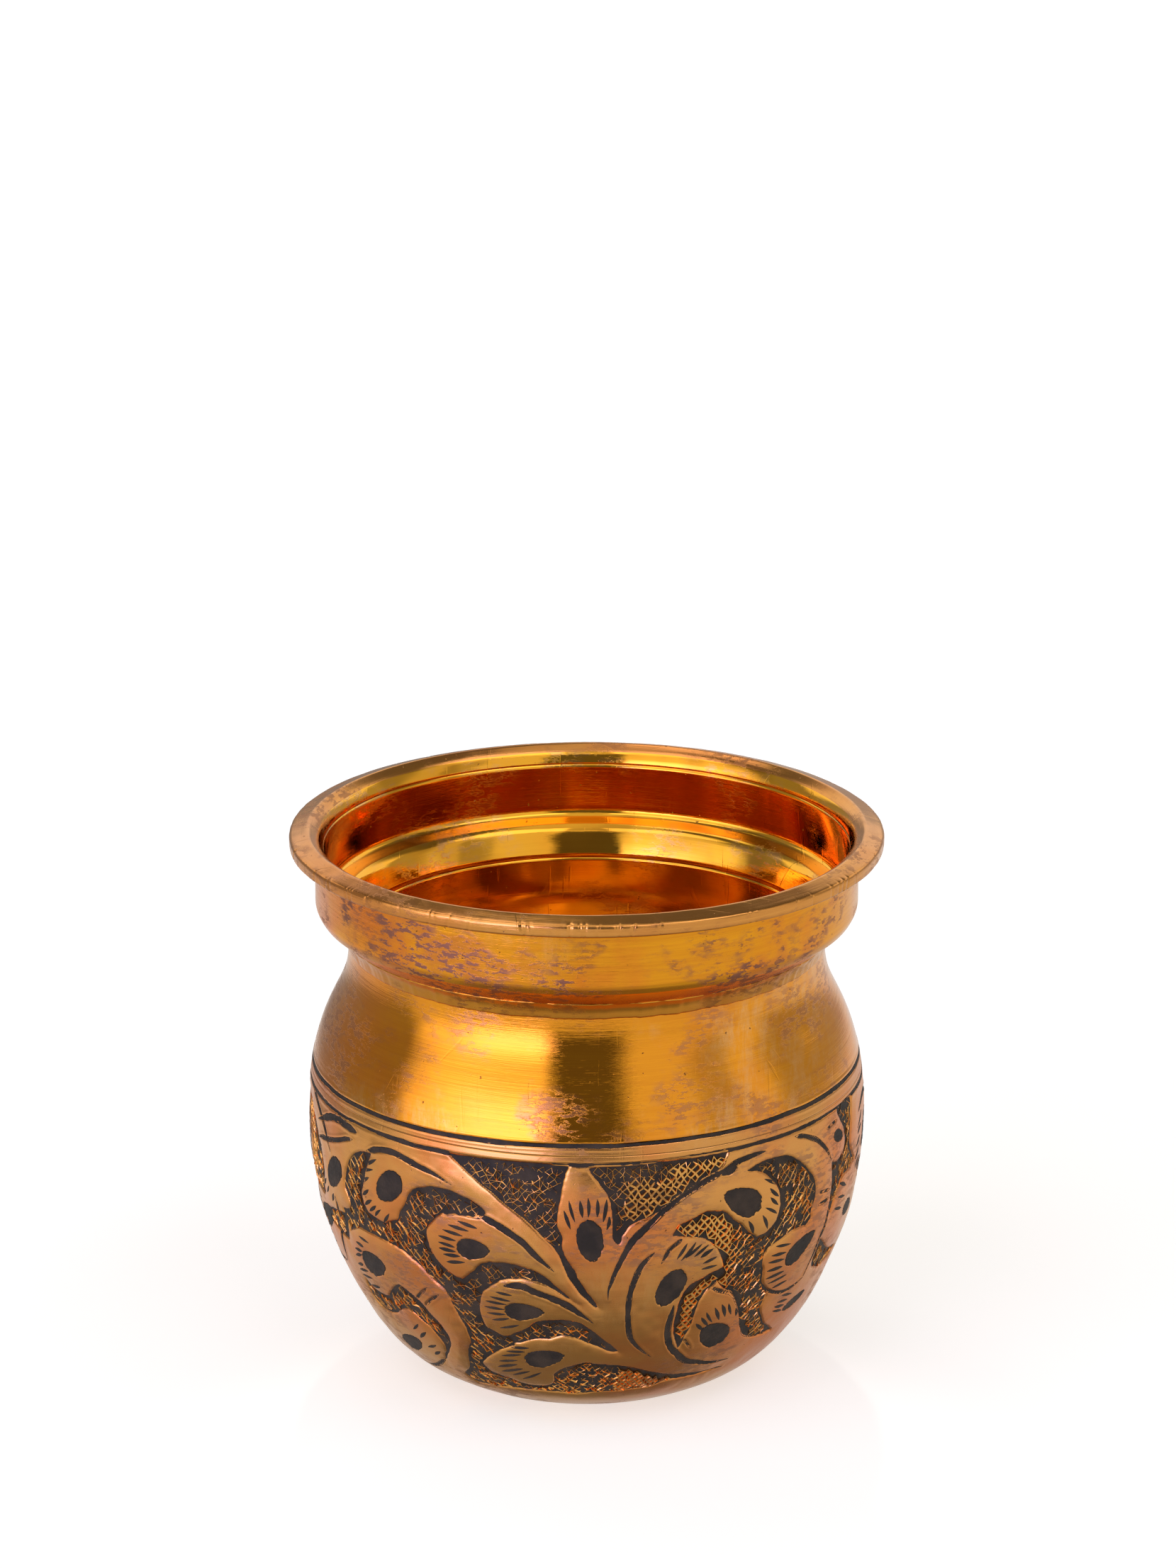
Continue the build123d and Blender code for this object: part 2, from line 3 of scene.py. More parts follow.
import bpy
import numpy as np
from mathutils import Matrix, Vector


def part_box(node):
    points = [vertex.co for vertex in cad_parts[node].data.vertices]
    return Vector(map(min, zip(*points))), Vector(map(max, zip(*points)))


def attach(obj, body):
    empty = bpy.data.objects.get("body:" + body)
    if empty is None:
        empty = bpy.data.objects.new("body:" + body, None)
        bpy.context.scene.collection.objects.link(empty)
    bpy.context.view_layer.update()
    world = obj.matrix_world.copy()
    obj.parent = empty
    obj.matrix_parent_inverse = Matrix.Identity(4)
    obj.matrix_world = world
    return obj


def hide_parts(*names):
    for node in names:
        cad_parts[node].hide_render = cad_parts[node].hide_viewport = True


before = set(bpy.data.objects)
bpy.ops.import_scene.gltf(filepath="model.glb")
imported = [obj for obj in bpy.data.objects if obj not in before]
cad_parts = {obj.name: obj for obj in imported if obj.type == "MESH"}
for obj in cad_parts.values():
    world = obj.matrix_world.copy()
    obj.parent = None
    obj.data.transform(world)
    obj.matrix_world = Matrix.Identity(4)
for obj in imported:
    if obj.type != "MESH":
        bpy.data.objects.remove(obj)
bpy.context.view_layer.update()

# The looks of a brass kalash: a spun and brazed water pot chased with peacock feathers.
# Work is done in millimetres, +Z up, and every point becomes metres as it enters a mesh.
#
# A place on the curved wall is (azimuth, arc): azimuth in degrees is 0 at -Y and grows towards
# +X, and arc is the length up the outer wall from the edge of the flat bottom.

MM = 0.001
TAU = 2 * math.pi


def node_span(node):
    """Largest radius, lowest height and highest height of a CAD node, in millimetres."""
    low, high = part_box(node)
    return high[0] / MM, low[2] / MM, high[2] / MM


# ---- driving dimensions ----------------------------------------------------------------
LIP_RADIUS, LIP_FOOT_Z, LIP_TOP_Z = node_span("lip_ring")
COLLAR_RADIUS, NECK_TOP_Z, COLLAR_TOP_Z = node_span("collar")
JOINT_Z = node_span("bowl")[2]
NECK_RADIUS = 43.4
BASE_RADIUS = 27.5
COLLAR_BORE_RADIUS = 47.8
COLLAR_FOOT_Z = NECK_TOP_Z + 5.0
LEDGE_Z = COLLAR_FOOT_Z + 1.6
FLOOR_THICKNESS = 2.4
NECK_THICKNESS = 1.6

# Outer wall from the flat bottom to the neck, as (radius, height).
WALL_POINTS = (
    (BASE_RADIUS, 0.0), (33.5, 3.5), (40.7, 11.5), (46.2, 22.5), (50.0, 35.0), (51.1, 46.5),
    (50.3, 58.0), (47.2, 68.0), (44.1, 75.0), (NECK_RADIUS, NECK_TOP_Z),
)

# Heights off the outer wall, and what the chasing tools leave.
GROUND_FLOOR = -0.85
GROUND_LAC = -0.45
CREST_TOP = -0.3
LAND_TOP = -0.1
FILL_FOOT = -0.6
CROWN = 0.16  # how far the edge of a feather rolls down
CUT_DEPTH = 0.42
BURR = 0.06  # height of the raised edge of a cut
EDGE_JAG = 0.16  # unevenness of the outline of the punched ground
LIFT = 0.03  # of the edge of a filling above the brass beside it
UPPER_RING_WIDTH = 0.95
LOWER_RING_WIDTH = 0.8

# ---- the chased feathers ---------------------------------------------------------------
# The spray is worked at the front and twice more behind, with a hooked feather low on its left.
SPRAY_TURNS = (0.0, 127.0, 235.0)
HOOK_TURNS = (0.0, 130.0, 237.0)
NO_TURN = (0.0,)

# Punched ground between the feathers. Each row is a closed outline of edges, and an edge is a
# smooth curve that starts at a sharp corner and ends where the next one starts.
SPRAY_GROUND = (
    (
        ((-29.1, 63.5), (-20.0, 63.8), (-10.0, 63.9)),
        ((-3.5, 63.7), (-4.8, 60.0), (-5.3, 57.0), (-5.8, 54.0), (-5.8, 52.0), (-4.8, 50.0),
         (-4.9, 47.6), (-3.4, 44.8), (-1.8, 42.0), (0.2, 38.5), (1.6, 36.6)),
        ((2.7, 34.8), (1.0, 35.8), (-1.6, 38.4), (-3.9, 42.2), (-5.4, 45.6), (-6.6, 47.9),
         (-9.0, 50.0), (-11.4, 52.3), (-13.8, 54.0), (-16.2, 55.4), (-20.2, 58.2), (-22.9, 59.8),
         (-25.7, 61.5)),
    ),
    (
        ((0.2, 63.4), (15.0, 63.8)),
        ((30.0, 63.9), (28.6, 61.5), (27.2, 60.6), (24.8, 60.0), (21.9, 58.7), (19.0, 57.3),
         (16.2, 55.8), (13.8, 54.0), (9.4, 52.5)),
        ((7.1, 50.2), (6.9, 49.0), (6.2, 48.7), (5.4, 49.6), (5.2, 51.7), (5.0, 54.6),
         (4.25, 57.9), (2.3, 60.4)),
    ),
    (
        ((17.4, 49.4), (19.0, 51.25), (21.9, 52.3), (24.8, 53.3), (26.7, 53.1), (29.1, 52.5),
         (31.5, 50.4), (33.4, 49.2), (35.0, 47.5)),
        ((37.2, 46.0), (34.0, 42.4)),
        ((30.2, 40.2), (28.6, 44.2), (27.2, 46.25), (24.8, 47.9), (21.9, 48.75)),
    ),
    (
        ((31.0, 41.6), (26.7, 40.4), (24.8, 39.6), (22.9, 39.0), (21.4, 37.7), (20.5, 35.4),
         (20.0, 31.7), (20.2, 28.0), (21.2, 25.2)),
        ((22.6, 22.8), (23.3, 25.4), (24.1, 27.5), (24.5, 30.0), (24.8, 32.5), (25.5, 35.0),
         (26.7, 36.7), (28.6, 38.2)),
    ),
    (
        ((34.0, 59.5), (38.0, 60.4), (41.6, 60.4), (45.2, 60.0), (47.6, 58.75), (50.0, 57.1),
         (52.4, 55.0), (54.3, 52.5), (54.7, 50.5), (54.5, 48.75), (53.6, 47.1)),
        ((53.8, 45.4), (52.4, 44.4), (50.0, 44.6), (47.6, 44.6), (45.2, 44.0), (42.8, 43.3),
         (40.9, 42.5), (40.0, 40.0), (40.9, 37.9), (41.4, 35.4), (43.3, 33.5), (44.2, 31.7),
         (43.8, 28.3), (45.7, 25.8), (48.1, 23.3), (50.5, 22.1)),
        ((53.8, 20.0), (49.5, 20.0), (45.2, 20.8), (42.3, 22.1), (39.5, 24.6), (38.0, 26.7),
         (36.2, 30.8), (33.4, 34.6), (30.4, 36.4)),
        ((28.0, 39.6), (32.0, 43.6)),
        ((36.2, 45.8), (38.0, 46.0), (39.5, 46.25), (41.4, 47.3), (42.8, 49.2), (43.1, 51.7),
         (42.6, 54.2), (40.9, 56.25), (38.0, 58.5)),
    ),
    (
        ((-42.0, 48.3), (-41.2, 50.0), (-39.6, 52.1), (-38.6, 54.2), (-36.7, 55.6), (-33.4, 56.7),
         (-30.0, 56.9), (-27.2, 56.5), (-24.3, 55.8), (-21.9, 54.8)),
        ((-20.5, 53.75), (-21.4, 53.1), (-25.7, 52.8), (-30.0, 52.2), (-32.4, 50.4), (-34.3, 48.3),
         (-34.5, 46.25), (-33.4, 43.3), (-31.5, 41.25), (-29.0, 39.6)),
        ((-26.2, 38.9), (-24.2, 36.4)),
        ((-24.1, 31.7),),
        ((-30.6, 31.5), (-31.9, 35.4), (-34.3, 37.1), (-36.7, 39.2), (-39.4, 40.8), (-42.7, 42.3)),
        ((-47.0, 42.8), (-45.6, 46.7)),
    ),
    (
        ((-31.2, 35.5), (-30.3, 30.8), (-29.3, 28.3), (-28.8, 25.4), (-29.1, 23.3), (-30.5, 20.8)),
        ((-31.9, 17.5),),
        ((-29.2, 15.8), (-27.2, 18.3), (-25.2, 20.0), (-22.9, 21.7), (-20.0, 23.3)),
        ((-17.0, 24.6),),
        ((-17.6, 27.2), (-19.6, 26.7), (-21.9, 27.3), (-23.6, 29.2), (-24.1, 31.7), (-23.8, 34.2)),
        ((-22.6, 36.9),),
        ((-25.2, 40.2), (-28.2, 38.2)),
    ),
    (
        ((-27.4, 38.8), (-24.3, 41.25), (-22.9, 42.7), (-20.5, 43.75), (-17.1, 44.0),
         (-13.8, 43.7), (-11.4, 43.1), (-9.0, 42.1), (-7.1, 40.4), (-4.7, 38.3)),
        ((-1.9, 35.8), (-5.6, 38.2), (-9.5, 40.4), (-13.3, 40.9), (-17.6, 40.3), (-21.0, 38.2),
         (-22.9, 36.7)),
        ((-24.2, 34.0), (-27.2, 35.6)),
    ),
    (
        ((-22.6, 28.2), (-19.2, 26.7), (-16.2, 28.1), (-13.8, 29.2), (-11.4, 31.0), (-8.5, 31.8),
         (-4.7, 32.0), (-1.4, 31.25), (0.9, 29.6), (3.3, 27.7), (5.2, 26.0)),
        ((7.6, 23.8), (5.2, 24.0), (2.8, 25.2), (-0.9, 26.9), (-3.8, 27.9), (-6.2, 27.9),
         (-8.5, 27.1), (-11.9, 26.7), (-15.2, 25.6), (-18.1, 24.8)),
        ((-21.4, 22.6), (-24.0, 25.2)),
    ),
    (
        ((-34.8, 8.3), (-36.7, 11.7), (-33.4, 14.6), (-31.9, 17.5)),
        ((-30.6, 20.2), (-28.4, 18.6), (-27.0, 16.6), (-25.7, 15.4), (-21.0, 14.2), (-18.1, 13.1),
         (-15.2, 12.5), (-11.4, 12.7), (-9.0, 14.2), (-8.5, 16.7), (-7.1, 18.3), (-4.7, 19.6)),
        ((0.0, 21.25), (2.8, 20.6), (7.6, 19.8), (11.4, 18.5), (15.2, 16.9), (19.0, 15.6),
         (22.9, 14.6), (26.7, 14.0), (31.5, 13.5)),
        ((38.0, 13.6), (32.4, 12.7), (26.7, 12.9), (21.9, 12.7), (18.1, 11.25), (13.8, 11.0),
         (9.5, 10.6), (2.8, 10.4), (-2.3, 9.6), (-8.5, 10.0), (-15.2, 10.0), (-22.9, 9.6),
         (-30.0, 8.8)),
    ),
    (
        ((28.0, 59.4), (30.0, 60.8)),
        ((32.2, 60.9), (30.4, 59.4)),
    ),
)
HOOK_GROUND = (
    (
        ((-52.0, 28.8), (-49.9, 30.8), (-47.5, 32.7), (-45.6, 33.3), (-42.7, 32.1), (-39.9, 30.4),
         (-38.1, 28.3), (-36.2, 26.25), (-35.3, 24.2), (-35.3, 22.1), (-36.7, 19.6), (-38.6, 17.5),
         (-40.5, 15.6)),
        ((-42.4, 14.0), (-39.9, 16.9), (-38.2, 19.2), (-38.4, 21.7), (-39.9, 24.2), (-42.3, 26.0),
         (-44.6, 27.3), (-47.0, 27.3)),
        ((-50.4, 25.8),),
    ),
)
FLANK_GROUND = (
    (
        ((-49.4, 59.4), (-53.2, 58.75), (-56.1, 57.1), (-58.0, 55.0), (-59.2, 52.5), (-59.7, 50.0),
         (-59.0, 48.75), (-58.0, 46.7), (-60.0, 45.4), (-61.8, 45.0), (-61.0, 43.3)),
        ((-60.2, 41.0), (-58.0, 41.9), (-55.6, 42.9), (-50.4, 42.9), (-46.6, 42.7)),
        ((-41.4, 41.9), (-39.4, 46.0)),
        ((-41.2, 49.0), (-42.4, 47.9), (-44.6, 46.7), (-47.0, 46.7), (-49.4, 46.9), (-51.3, 47.5),
         (-52.5, 49.2), (-52.8, 51.25), (-51.8, 53.3), (-51.3, 55.4), (-50.4, 57.5)),
    ),
    (
        ((-61.0, 30.3), (-58.0, 28.7), (-55.0, 28.6)),
        ((-51.4, 28.8), (-50.4, 26.0), (-53.0, 24.5), (-58.0, 24.0), (-61.5, 26.0)),
    ),
    (
        ((-60.4, 44.2), (-66.0, 43.4)),
        ((-70.0, 42.5), (-71.4, 40.0), (-68.0, 39.0)),
        ((-62.4, 38.2), (-61.2, 41.0)),
    ),
    (
        ((63.0, 63.8), (67.0, 64.2)),
        ((72.0, 63.9), (71.0, 60.0), (70.5, 55.0)),
        ((74.0, 51.0), (70.0, 50.0), (66.0, 49.5), (63.0, 46.0)),
        ((62.0, 44.0), (61.0, 46.0), (61.2, 50.0)),
        ((60.5, 54.5), (63.0, 54.0), (66.0, 55.0), (67.0, 57.0), (66.0, 60.0)),
    ),
    (
        ((60.0, 39.2), (62.9, 37.5), (66.7, 35.0), (71.5, 33.75)),
        ((76.2, 32.5), (71.5, 31.25), (67.6, 31.25), (63.8, 31.7)),
        ((60.5, 32.9), (59.5, 35.0)),
    ),
)

# Long tapering cuts: the width at the middle, then the centre line from tip to tip.
SPRAY_CUTS = (
    (1.15, (38.9, 62.3), (35.3, 62.1), (31.5, 61.5), (28.6, 60.4), (24.8, 59.4), (21.9, 58.1),
     (18.6, 56.5), (15.2, 54.4), (12.4, 52.1), (9.5, 49.6), (7.6, 46.7), (5.9, 43.3), (5.0, 40.8),
     (4.5, 39.2), (4.5, 37.1)),
    (0.95, (13.8, 46.7), (11.9, 45.0), (10.7, 43.3), (9.5, 40.0), (9.0, 37.5), (8.9, 35.0),
     (9.0, 32.5), (9.7, 28.3), (11.2, 25.8), (13.3, 23.8), (15.5, 22.1)),
    (1.1, (19.0, 34.6), (18.6, 28.3), (20.0, 24.2), (22.4, 21.7), (25.2, 19.4), (29.1, 18.1),
     (32.4, 17.1), (36.2, 16.5), (40.0, 16.25)),
    (0.5, (23.3, 25.4), (24.6, 23.9), (25.7, 22.7)),
    (1.1, (6.0, 20.1), (11.4, 18.6), (15.2, 17.1), (19.0, 15.9), (22.9, 14.8), (26.7, 14.2),
     (31.5, 13.6), (35.3, 13.6), (40.0, 13.6)),
    (0.7, (19.6, 48.7), (17.1, 47.1), (16.2, 45.8), (15.3, 44.2)),
    (0.75, (26.2, 37.9), (29.1, 36.35), (31.5, 35.4), (33.4, 34.4), (36.2, 30.8), (38.1, 28.0),
     (39.6, 25.0), (41.0, 22.9), (42.8, 21.7), (45.7, 20.8), (50.5, 20.0)),
    (1.0, (-50.9, 59.4), (-46.6, 60.8), (-42.7, 61.2), (-39.1, 60.7), (-35.8, 60.0), (-32.4, 59.4),
     (-28.0, 58.0)),
    (1.1, (-22.4, 53.3), (-18.1, 51.7), (-15.2, 50.2), (-12.8, 48.75), (-10.5, 46.5), (-8.3, 44.6),
     (-6.6, 43.2)),
    (1.0, (-30.6, 51.9), (-28.0, 52.7), (-25.7, 52.9), (-21.6, 52.4)),
    (1.2, (-17.6, 39.2), (-13.8, 39.6), (-10.9, 38.5), (-7.6, 37.3), (-4.3, 35.8), (-1.4, 33.75),
     (1.5, 31.5)),
    (0.75, (47.1, 63.1), (50.0, 62.5), (52.4, 61.5), (54.3, 60.6), (57.1, 58.5), (58.6, 56.9),
     (60.0, 55.2)),
    (0.7, (42.3, 33.75), (44.7, 32.3), (47.6, 31.25), (50.5, 30.8), (53.8, 31.1), (56.7, 31.9)),
    (0.75, (60.5, 46.7), (60.7, 45.0), (60.2, 42.5), (59.0, 39.2), (58.1, 35.8), (56.7, 32.1)),
)
HOOK_CUTS = (
    (0.8, (-41.4, 15.2), (-45.1, 12.9), (-48.9, 11.25), (-52.8, 10.2)),
)
FLANK_CUTS = (
    (1.2, (-54.2, 62.0), (-60.9, 62.5), (-64.2, 62.1), (-67.1, 61.25), (-69.5, 60.4),
     (-72.8, 59.2)),
    (0.8, (-55.6, 60.3), (-58.0, 59.8), (-60.9, 58.75), (-63.8, 57.9), (-67.1, 57.1),
     (-70.4, 56.5), (-73.8, 55.4)),
    (0.6, (-41.0, 31.7), (-38.8, 33.5), (-36.6, 35.4)),
    (0.6, (-38.9, 30.6), (-36.4, 32.6), (-33.7, 34.4)),
    (0.55, (55.7, 50.0), (57.9, 49.7), (60.2, 49.4)),
    (0.55, (55.7, 47.5), (57.9, 47.6), (60.2, 47.7)),
    (0.5, (58.1, 61.5), (60.4, 61.9), (62.9, 62.1)),
)

# Feather eyes: azimuth, arc, half length, half width, tilt of the long axis in degrees, and how
# much the end that the axis points to draws in.
SPRAY_EYES = (
    (0.7, 49.6, 4.1, 2.4, 97.0, -0.2), (-43.9, 54.4, 3.9, 2.6, 44.0, -0.2),
    (-23.6, 46.1, 3.2, 2.1, 5.0, 0.35), (-13.6, 33.6, 3.6, 2.0, 4.0, 0.5),
    (-10.2, 22.0, 3.8, 2.2, 20.0, 0.4), (33.0, 54.0, 4.4, 2.6, -28.0, -0.55),
    (17.8, 38.7, 4.1, 2.6, 68.0, -0.1), (31.2, 25.2, 3.7, 2.8, -42.0, -0.3),
    (51.5, 40.1, 4.3, 2.2, 30.0, 0.6),
)
HOOK_EYES = ((-51.5, 17.5, 3.8, 2.0, 30.0, 0.3),)
FLANK_EYES = (
    (57.5, 26.3, 3.4, 1.2, 15.0, 0.2), (63.2, 58.9, 2.0, 1.2, -20.0, 0.2),
    (73.0, 41.7, 3.0, 1.7, -20.0, 0.2), (-63.8, 51.6, 3.9, 2.4, 50.0, -0.2),
    (-53.0, 36.0, 3.7, 2.6, 15.0, 0.3),
)

# Barbs round the eyes, each from its outer end to its inner end.
SPRAY_BARBS = (
    ((-4.5, 55.4), (-3.2, 51.9)), ((-3.5, 57.3), (-2.3, 53.3)), ((-1.3, 57.4), (-0.8, 54.2)),
    ((0.3, 57.9), (0.35, 54.25)), ((2.15, 57.6), (2.1, 54.25)), ((4.0, 57.5), (3.3, 53.25)),
    ((4.5, 54.2), (4.0, 51.7)),
    ((-51.6, 56.5), (-47.5, 58.7)), ((-51.8, 55.4), (-48.5, 56.5)), ((-52.5, 53.1), (-49.9, 54.6)),
    ((-52.3, 50.6), (-50.1, 52.2)), ((-51.8, 48.75), (-49.2, 50.4)), ((-50.4, 47.9), (-48.0, 49.6)),
    ((-48.7, 47.3), (-46.6, 49.2)), ((-46.3, 46.7), (-44.2, 49.0)),
    ((-26.7, 51.3), (-22.4, 50.5)), ((-29.0, 50.2), (-24.3, 49.7)), ((-30.3, 49.0), (-25.7, 48.5)),
    ((-31.4, 47.6), (-27.3, 47.3)), ((-31.5, 46.3), (-27.7, 45.9)), ((-31.5, 45.1), (-27.6, 45.0)),
    ((-30.6, 44.0), (-26.7, 44.2)), ((-30.0, 42.5), (-25.7, 43.1)),
    ((-19.4, 37.6), (-15.9, 37.3)), ((-21.0, 36.3), (-16.4, 35.9)), ((-22.2, 35.1), (-17.4, 35.0)),
    ((-22.7, 33.7), (-17.9, 33.75)), ((-22.3, 32.3), (-17.9, 32.6)), ((-21.3, 30.8), (-17.2, 31.7)),
    ((-19.8, 29.0), (-15.2, 30.2)),
    ((-18.1, 24.1), (-13.6, 24.5)), ((-19.5, 22.9), (-14.8, 23.4)), ((-21.0, 21.5), (-15.9, 22.5)),
    ((-22.1, 19.8), (-17.1, 20.8)), ((-22.9, 18.1), (-17.4, 19.6)), ((-22.4, 16.7), (-16.2, 18.5)),
    ((-19.5, 16.0), (-14.5, 17.9)), ((-17.1, 15.0), (-11.6, 17.7)),
    ((40.3, 57.7), (37.7, 59.0)), ((41.5, 55.4), (38.4, 57.1)), ((42.4, 52.9), (39.9, 55.0)),
    ((42.3, 51.25), (40.0, 53.25)), ((42.1, 49.6), (38.8, 51.5)), ((39.8, 47.1), (38.1, 50.2)),
    ((36.2, 46.9), (34.6, 49.8)),
    ((20.7, 47.7), (18.6, 44.8)), ((22.6, 47.7), (19.5, 44.4)), ((24.0, 47.1), (20.5, 44.8)),
    ((25.5, 46.7), (22.4, 44.8)), ((26.7, 45.7), (23.8, 44.4)), ((27.7, 43.9), (24.5, 43.1)),
    ((27.9, 42.1), (24.3, 41.9)),
    ((25.4, 29.0), (27.4, 27.2)), ((26.4, 30.4), (28.6, 28.1)), ((27.4, 31.5), (29.5, 28.75)),
    ((29.3, 32.3), (31.2, 29.0)), ((31.0, 32.7), (32.7, 29.4)), ((32.8, 32.5), (34.3, 29.6)),
    ((35.3, 30.8), (36.0, 28.75)), ((37.2, 29.6), (37.7, 28.3)),
    ((43.1, 42.6), (47.6, 42.0)), ((42.1, 40.9), (46.6, 40.5)), ((41.6, 39.5), (46.4, 39.1)),
    ((41.8, 37.6), (46.4, 37.5)), ((42.1, 35.8), (47.4, 36.2)), ((43.3, 34.4), (48.8, 35.0)),
    ((45.2, 32.9), (49.7, 33.4)),
)
HOOK_BARBS = (
    ((-43.9, 24.6), (-46.8, 22.5)), ((-42.3, 22.9), (-45.6, 20.6)), ((-40.8, 19.8), (-44.6, 18.3)),
    ((-40.8, 17.9), (-43.7, 16.3)),
)
FLANK_BARBS = (
    ((-75.0, 54.0), (-71.0, 54.5)), ((-74.5, 51.0), (-70.5, 51.8)), ((-74.0, 48.5), (-70.0, 50.0)),
    ((-72.0, 46.5), (-69.0, 48.7)), ((-69.5, 45.8), (-67.5, 47.7)), ((-66.5, 45.0), (-65.2, 46.9)),
    ((-56.3, 41.0), (-52.8, 40.6)), ((-58.3, 39.2), (-55.4, 39.0)), ((-59.9, 37.3), (-56.6, 37.7)),
    ((-60.6, 35.6), (-57.3, 36.7)), ((-61.1, 33.5), (-58.5, 34.2)), ((-61.6, 32.1), (-57.0, 33.1)),
    ((-61.4, 30.9), (-56.3, 31.7)), ((-58.5, 29.4), (-54.2, 30.3)),
    ((50.0, 29.8), (54.3, 29.0)), ((49.3, 28.3), (53.3, 27.9)), ((49.0, 27.3), (52.8, 26.7)),
    ((49.0, 26.25), (52.8, 25.4)),
    ((64.8, 49.0), (68.6, 47.5)), ((64.8, 46.25), (68.6, 45.4)), ((63.8, 44.2), (67.6, 43.3)),
)


# ---- the outer wall as a function of arc -------------------------------------------------
def natural_spline(knots, values, where):
    """Natural cubic spline through values at knots, read at other places."""
    gaps = np.diff(knots)
    slopes = np.diff(values) / gaps
    size = len(knots)
    system = np.eye(size)
    turns = np.zeros(size)
    for row in range(1, size - 1):
        system[row, row - 1:row + 2] = gaps[row - 1], 2 * (gaps[row - 1] + gaps[row]), gaps[row]
        turns[row] = 6 * (slopes[row] - slopes[row - 1])
    bend = np.linalg.solve(system, turns)
    span = np.clip(np.searchsorted(knots, where, side="right") - 1, 0, size - 2)
    gap = gaps[span]
    left = (knots[span + 1] - where) / gap
    right = (where - knots[span]) / gap
    curve = (left ** 3 - left) * bend[span] + (right ** 3 - right) * bend[span + 1]
    return left * values[span] + right * values[span + 1] + curve * gap ** 2 / 6


def wall_table(samples=6000):
    """Arc, radius, height and outward direction at many places up the outer wall."""
    points = np.array(WALL_POINTS)
    knots = np.concatenate(([0.0], np.cumsum(np.hypot(*np.diff(points, axis=0).T))))
    where = np.linspace(0, knots[-1], samples)
    radius, height = (natural_spline(knots, values, where) for values in points.T)
    arc = np.concatenate(([0.0], np.cumsum(np.hypot(np.diff(radius), np.diff(height)))))
    return arc, radius, height, np.gradient(height, arc), -np.gradient(radius, arc)


ARC, RADIUS, HEIGHT, OUT_RADIUS, OUT_HEIGHT = wall_table()
WALL_LENGTH = ARC[-1]
JOINT_ARC = float(np.interp(JOINT_Z, HEIGHT, ARC))


def wall_radius(arc):
    return np.interp(arc, ARC, RADIUS)


def arc_per_degree(arc):
    return np.radians(1.0) * wall_radius(arc)


def wall_rows(arc, height):
    """Radius and height of places that stand a height off the outer wall."""
    radius = np.interp(arc, ARC, RADIUS) + height * np.interp(arc, ARC, OUT_RADIUS)
    level = np.interp(arc, ARC, HEIGHT) + height * np.interp(arc, ARC, OUT_HEIGHT)
    return radius, level


def turn_out(azimuth, radius, level):
    """Points in metres from azimuth in degrees, radius and height in millimetres."""
    angle = np.radians(azimuth)
    parts = np.broadcast_arrays(radius * np.sin(angle), -radius * np.cos(angle), level)
    return np.stack(parts, axis=-1).reshape(-1, 3) * MM


def on_wall(azimuth, arc, height):
    radius, level = wall_rows(arc, height)
    return turn_out(azimuth, radius, level)


# ---- random fields -----------------------------------------------------------------------
MEAN_RADIUS = 50.0  # of the wall, where grain has its true period
GRAIN_REACH = 130.0  # of arc or height


def smooth_step(share):
    return share * share * (3 - 2 * share)


def ease(value, start, end):
    return smooth_step(np.clip((value - start) / (end - start), 0, 1))


def between_four(field, across, up, soften=False):
    """A grid field that meets itself round the pot, read between its nearest four places."""
    columns = field.shape[1]
    column = np.floor(across).astype(int)
    row = np.floor(up).astype(int)
    share_across = across - column
    share_up = up - row
    if soften:
        share_across, share_up = smooth_step(share_across), smooth_step(share_up)
    column %= columns
    after = (column + 1) % columns
    low = field[row, column] * (1 - share_across) + field[row, after] * share_across
    high = field[row + 1, column] * (1 - share_across) + field[row + 1, after] * share_across
    return low * (1 - share_up) + high * share_up


def grain(azimuth, arc, period, seed):
    """Smooth random field over the wall, from -1 to 1."""
    columns = max(6, round(TAU * MEAN_RADIUS / period))
    rows = int(GRAIN_REACH / period) + 4
    lattice = np.random.default_rng(seed).uniform(-1, 1, (rows, columns))
    across = (np.asarray(azimuth) % 360) / 360 * columns
    up = np.clip(np.asarray(arc) / period, 0, rows - 2.001)
    return between_four(lattice, across, up, soften=True)


def grains(azimuth, arc, seed, *layers):
    """Sum of grain in layers of (amount, period), each with the next seed."""
    return sum(amount * grain(azimuth, arc, period, seed + number)
               for number, (amount, period) in enumerate(layers))


def dents(azimuth, arc):
    """Slow unevenness of the hand-finished wall, the same on bowl and shoulder."""
    return grains(azimuth, arc, 3, (0.05, 17.0), (0.02, 6.5))


def upper_ring_arc(azimuth):
    """The upper engraved ring isn't quite level."""
    return 67.2 + 0.55 * np.sin(np.radians(azimuth + 10)) + 0.08 * grain(azimuth, 0, 5.0, 31)


def lower_ring_arc(azimuth):
    return 63.95 + 0.3 * np.sin(np.radians(azimuth)) + 0.08 * grain(azimuth, 0, 4.0, 32)


# ---- outlines ----------------------------------------------------------------------------
def smooth_edge(points, pieces=4):
    """Catmull-Rom curve through the points of one edge, without its last point."""
    points = np.array(points, dtype=float)
    if len(points) == 2:
        return points[:1]
    padded = np.vstack((2 * points[0] - points[1], points, 2 * points[-1] - points[-2]))
    curve = []
    for before, start, end, after in zip(padded, padded[1:], padded[2:], padded[3:]):
        for piece in range(pieces):
            t = piece / pieces
            curve.append(0.5 * (
                2 * start + (end - before) * t + (2 * before - 5 * start + 4 * end - after) * t ** 2
                + (3 * start - before - 3 * end + after) * t ** 3
            ))
    return np.array(curve)


def closed_outline(edges):
    """Outline of edges, each of which runs on to the first point of the next."""
    following = edges[1:] + edges[:1]
    return np.vstack([smooth_edge(edge + after[:1]) for edge, after in zip(edges, following)])


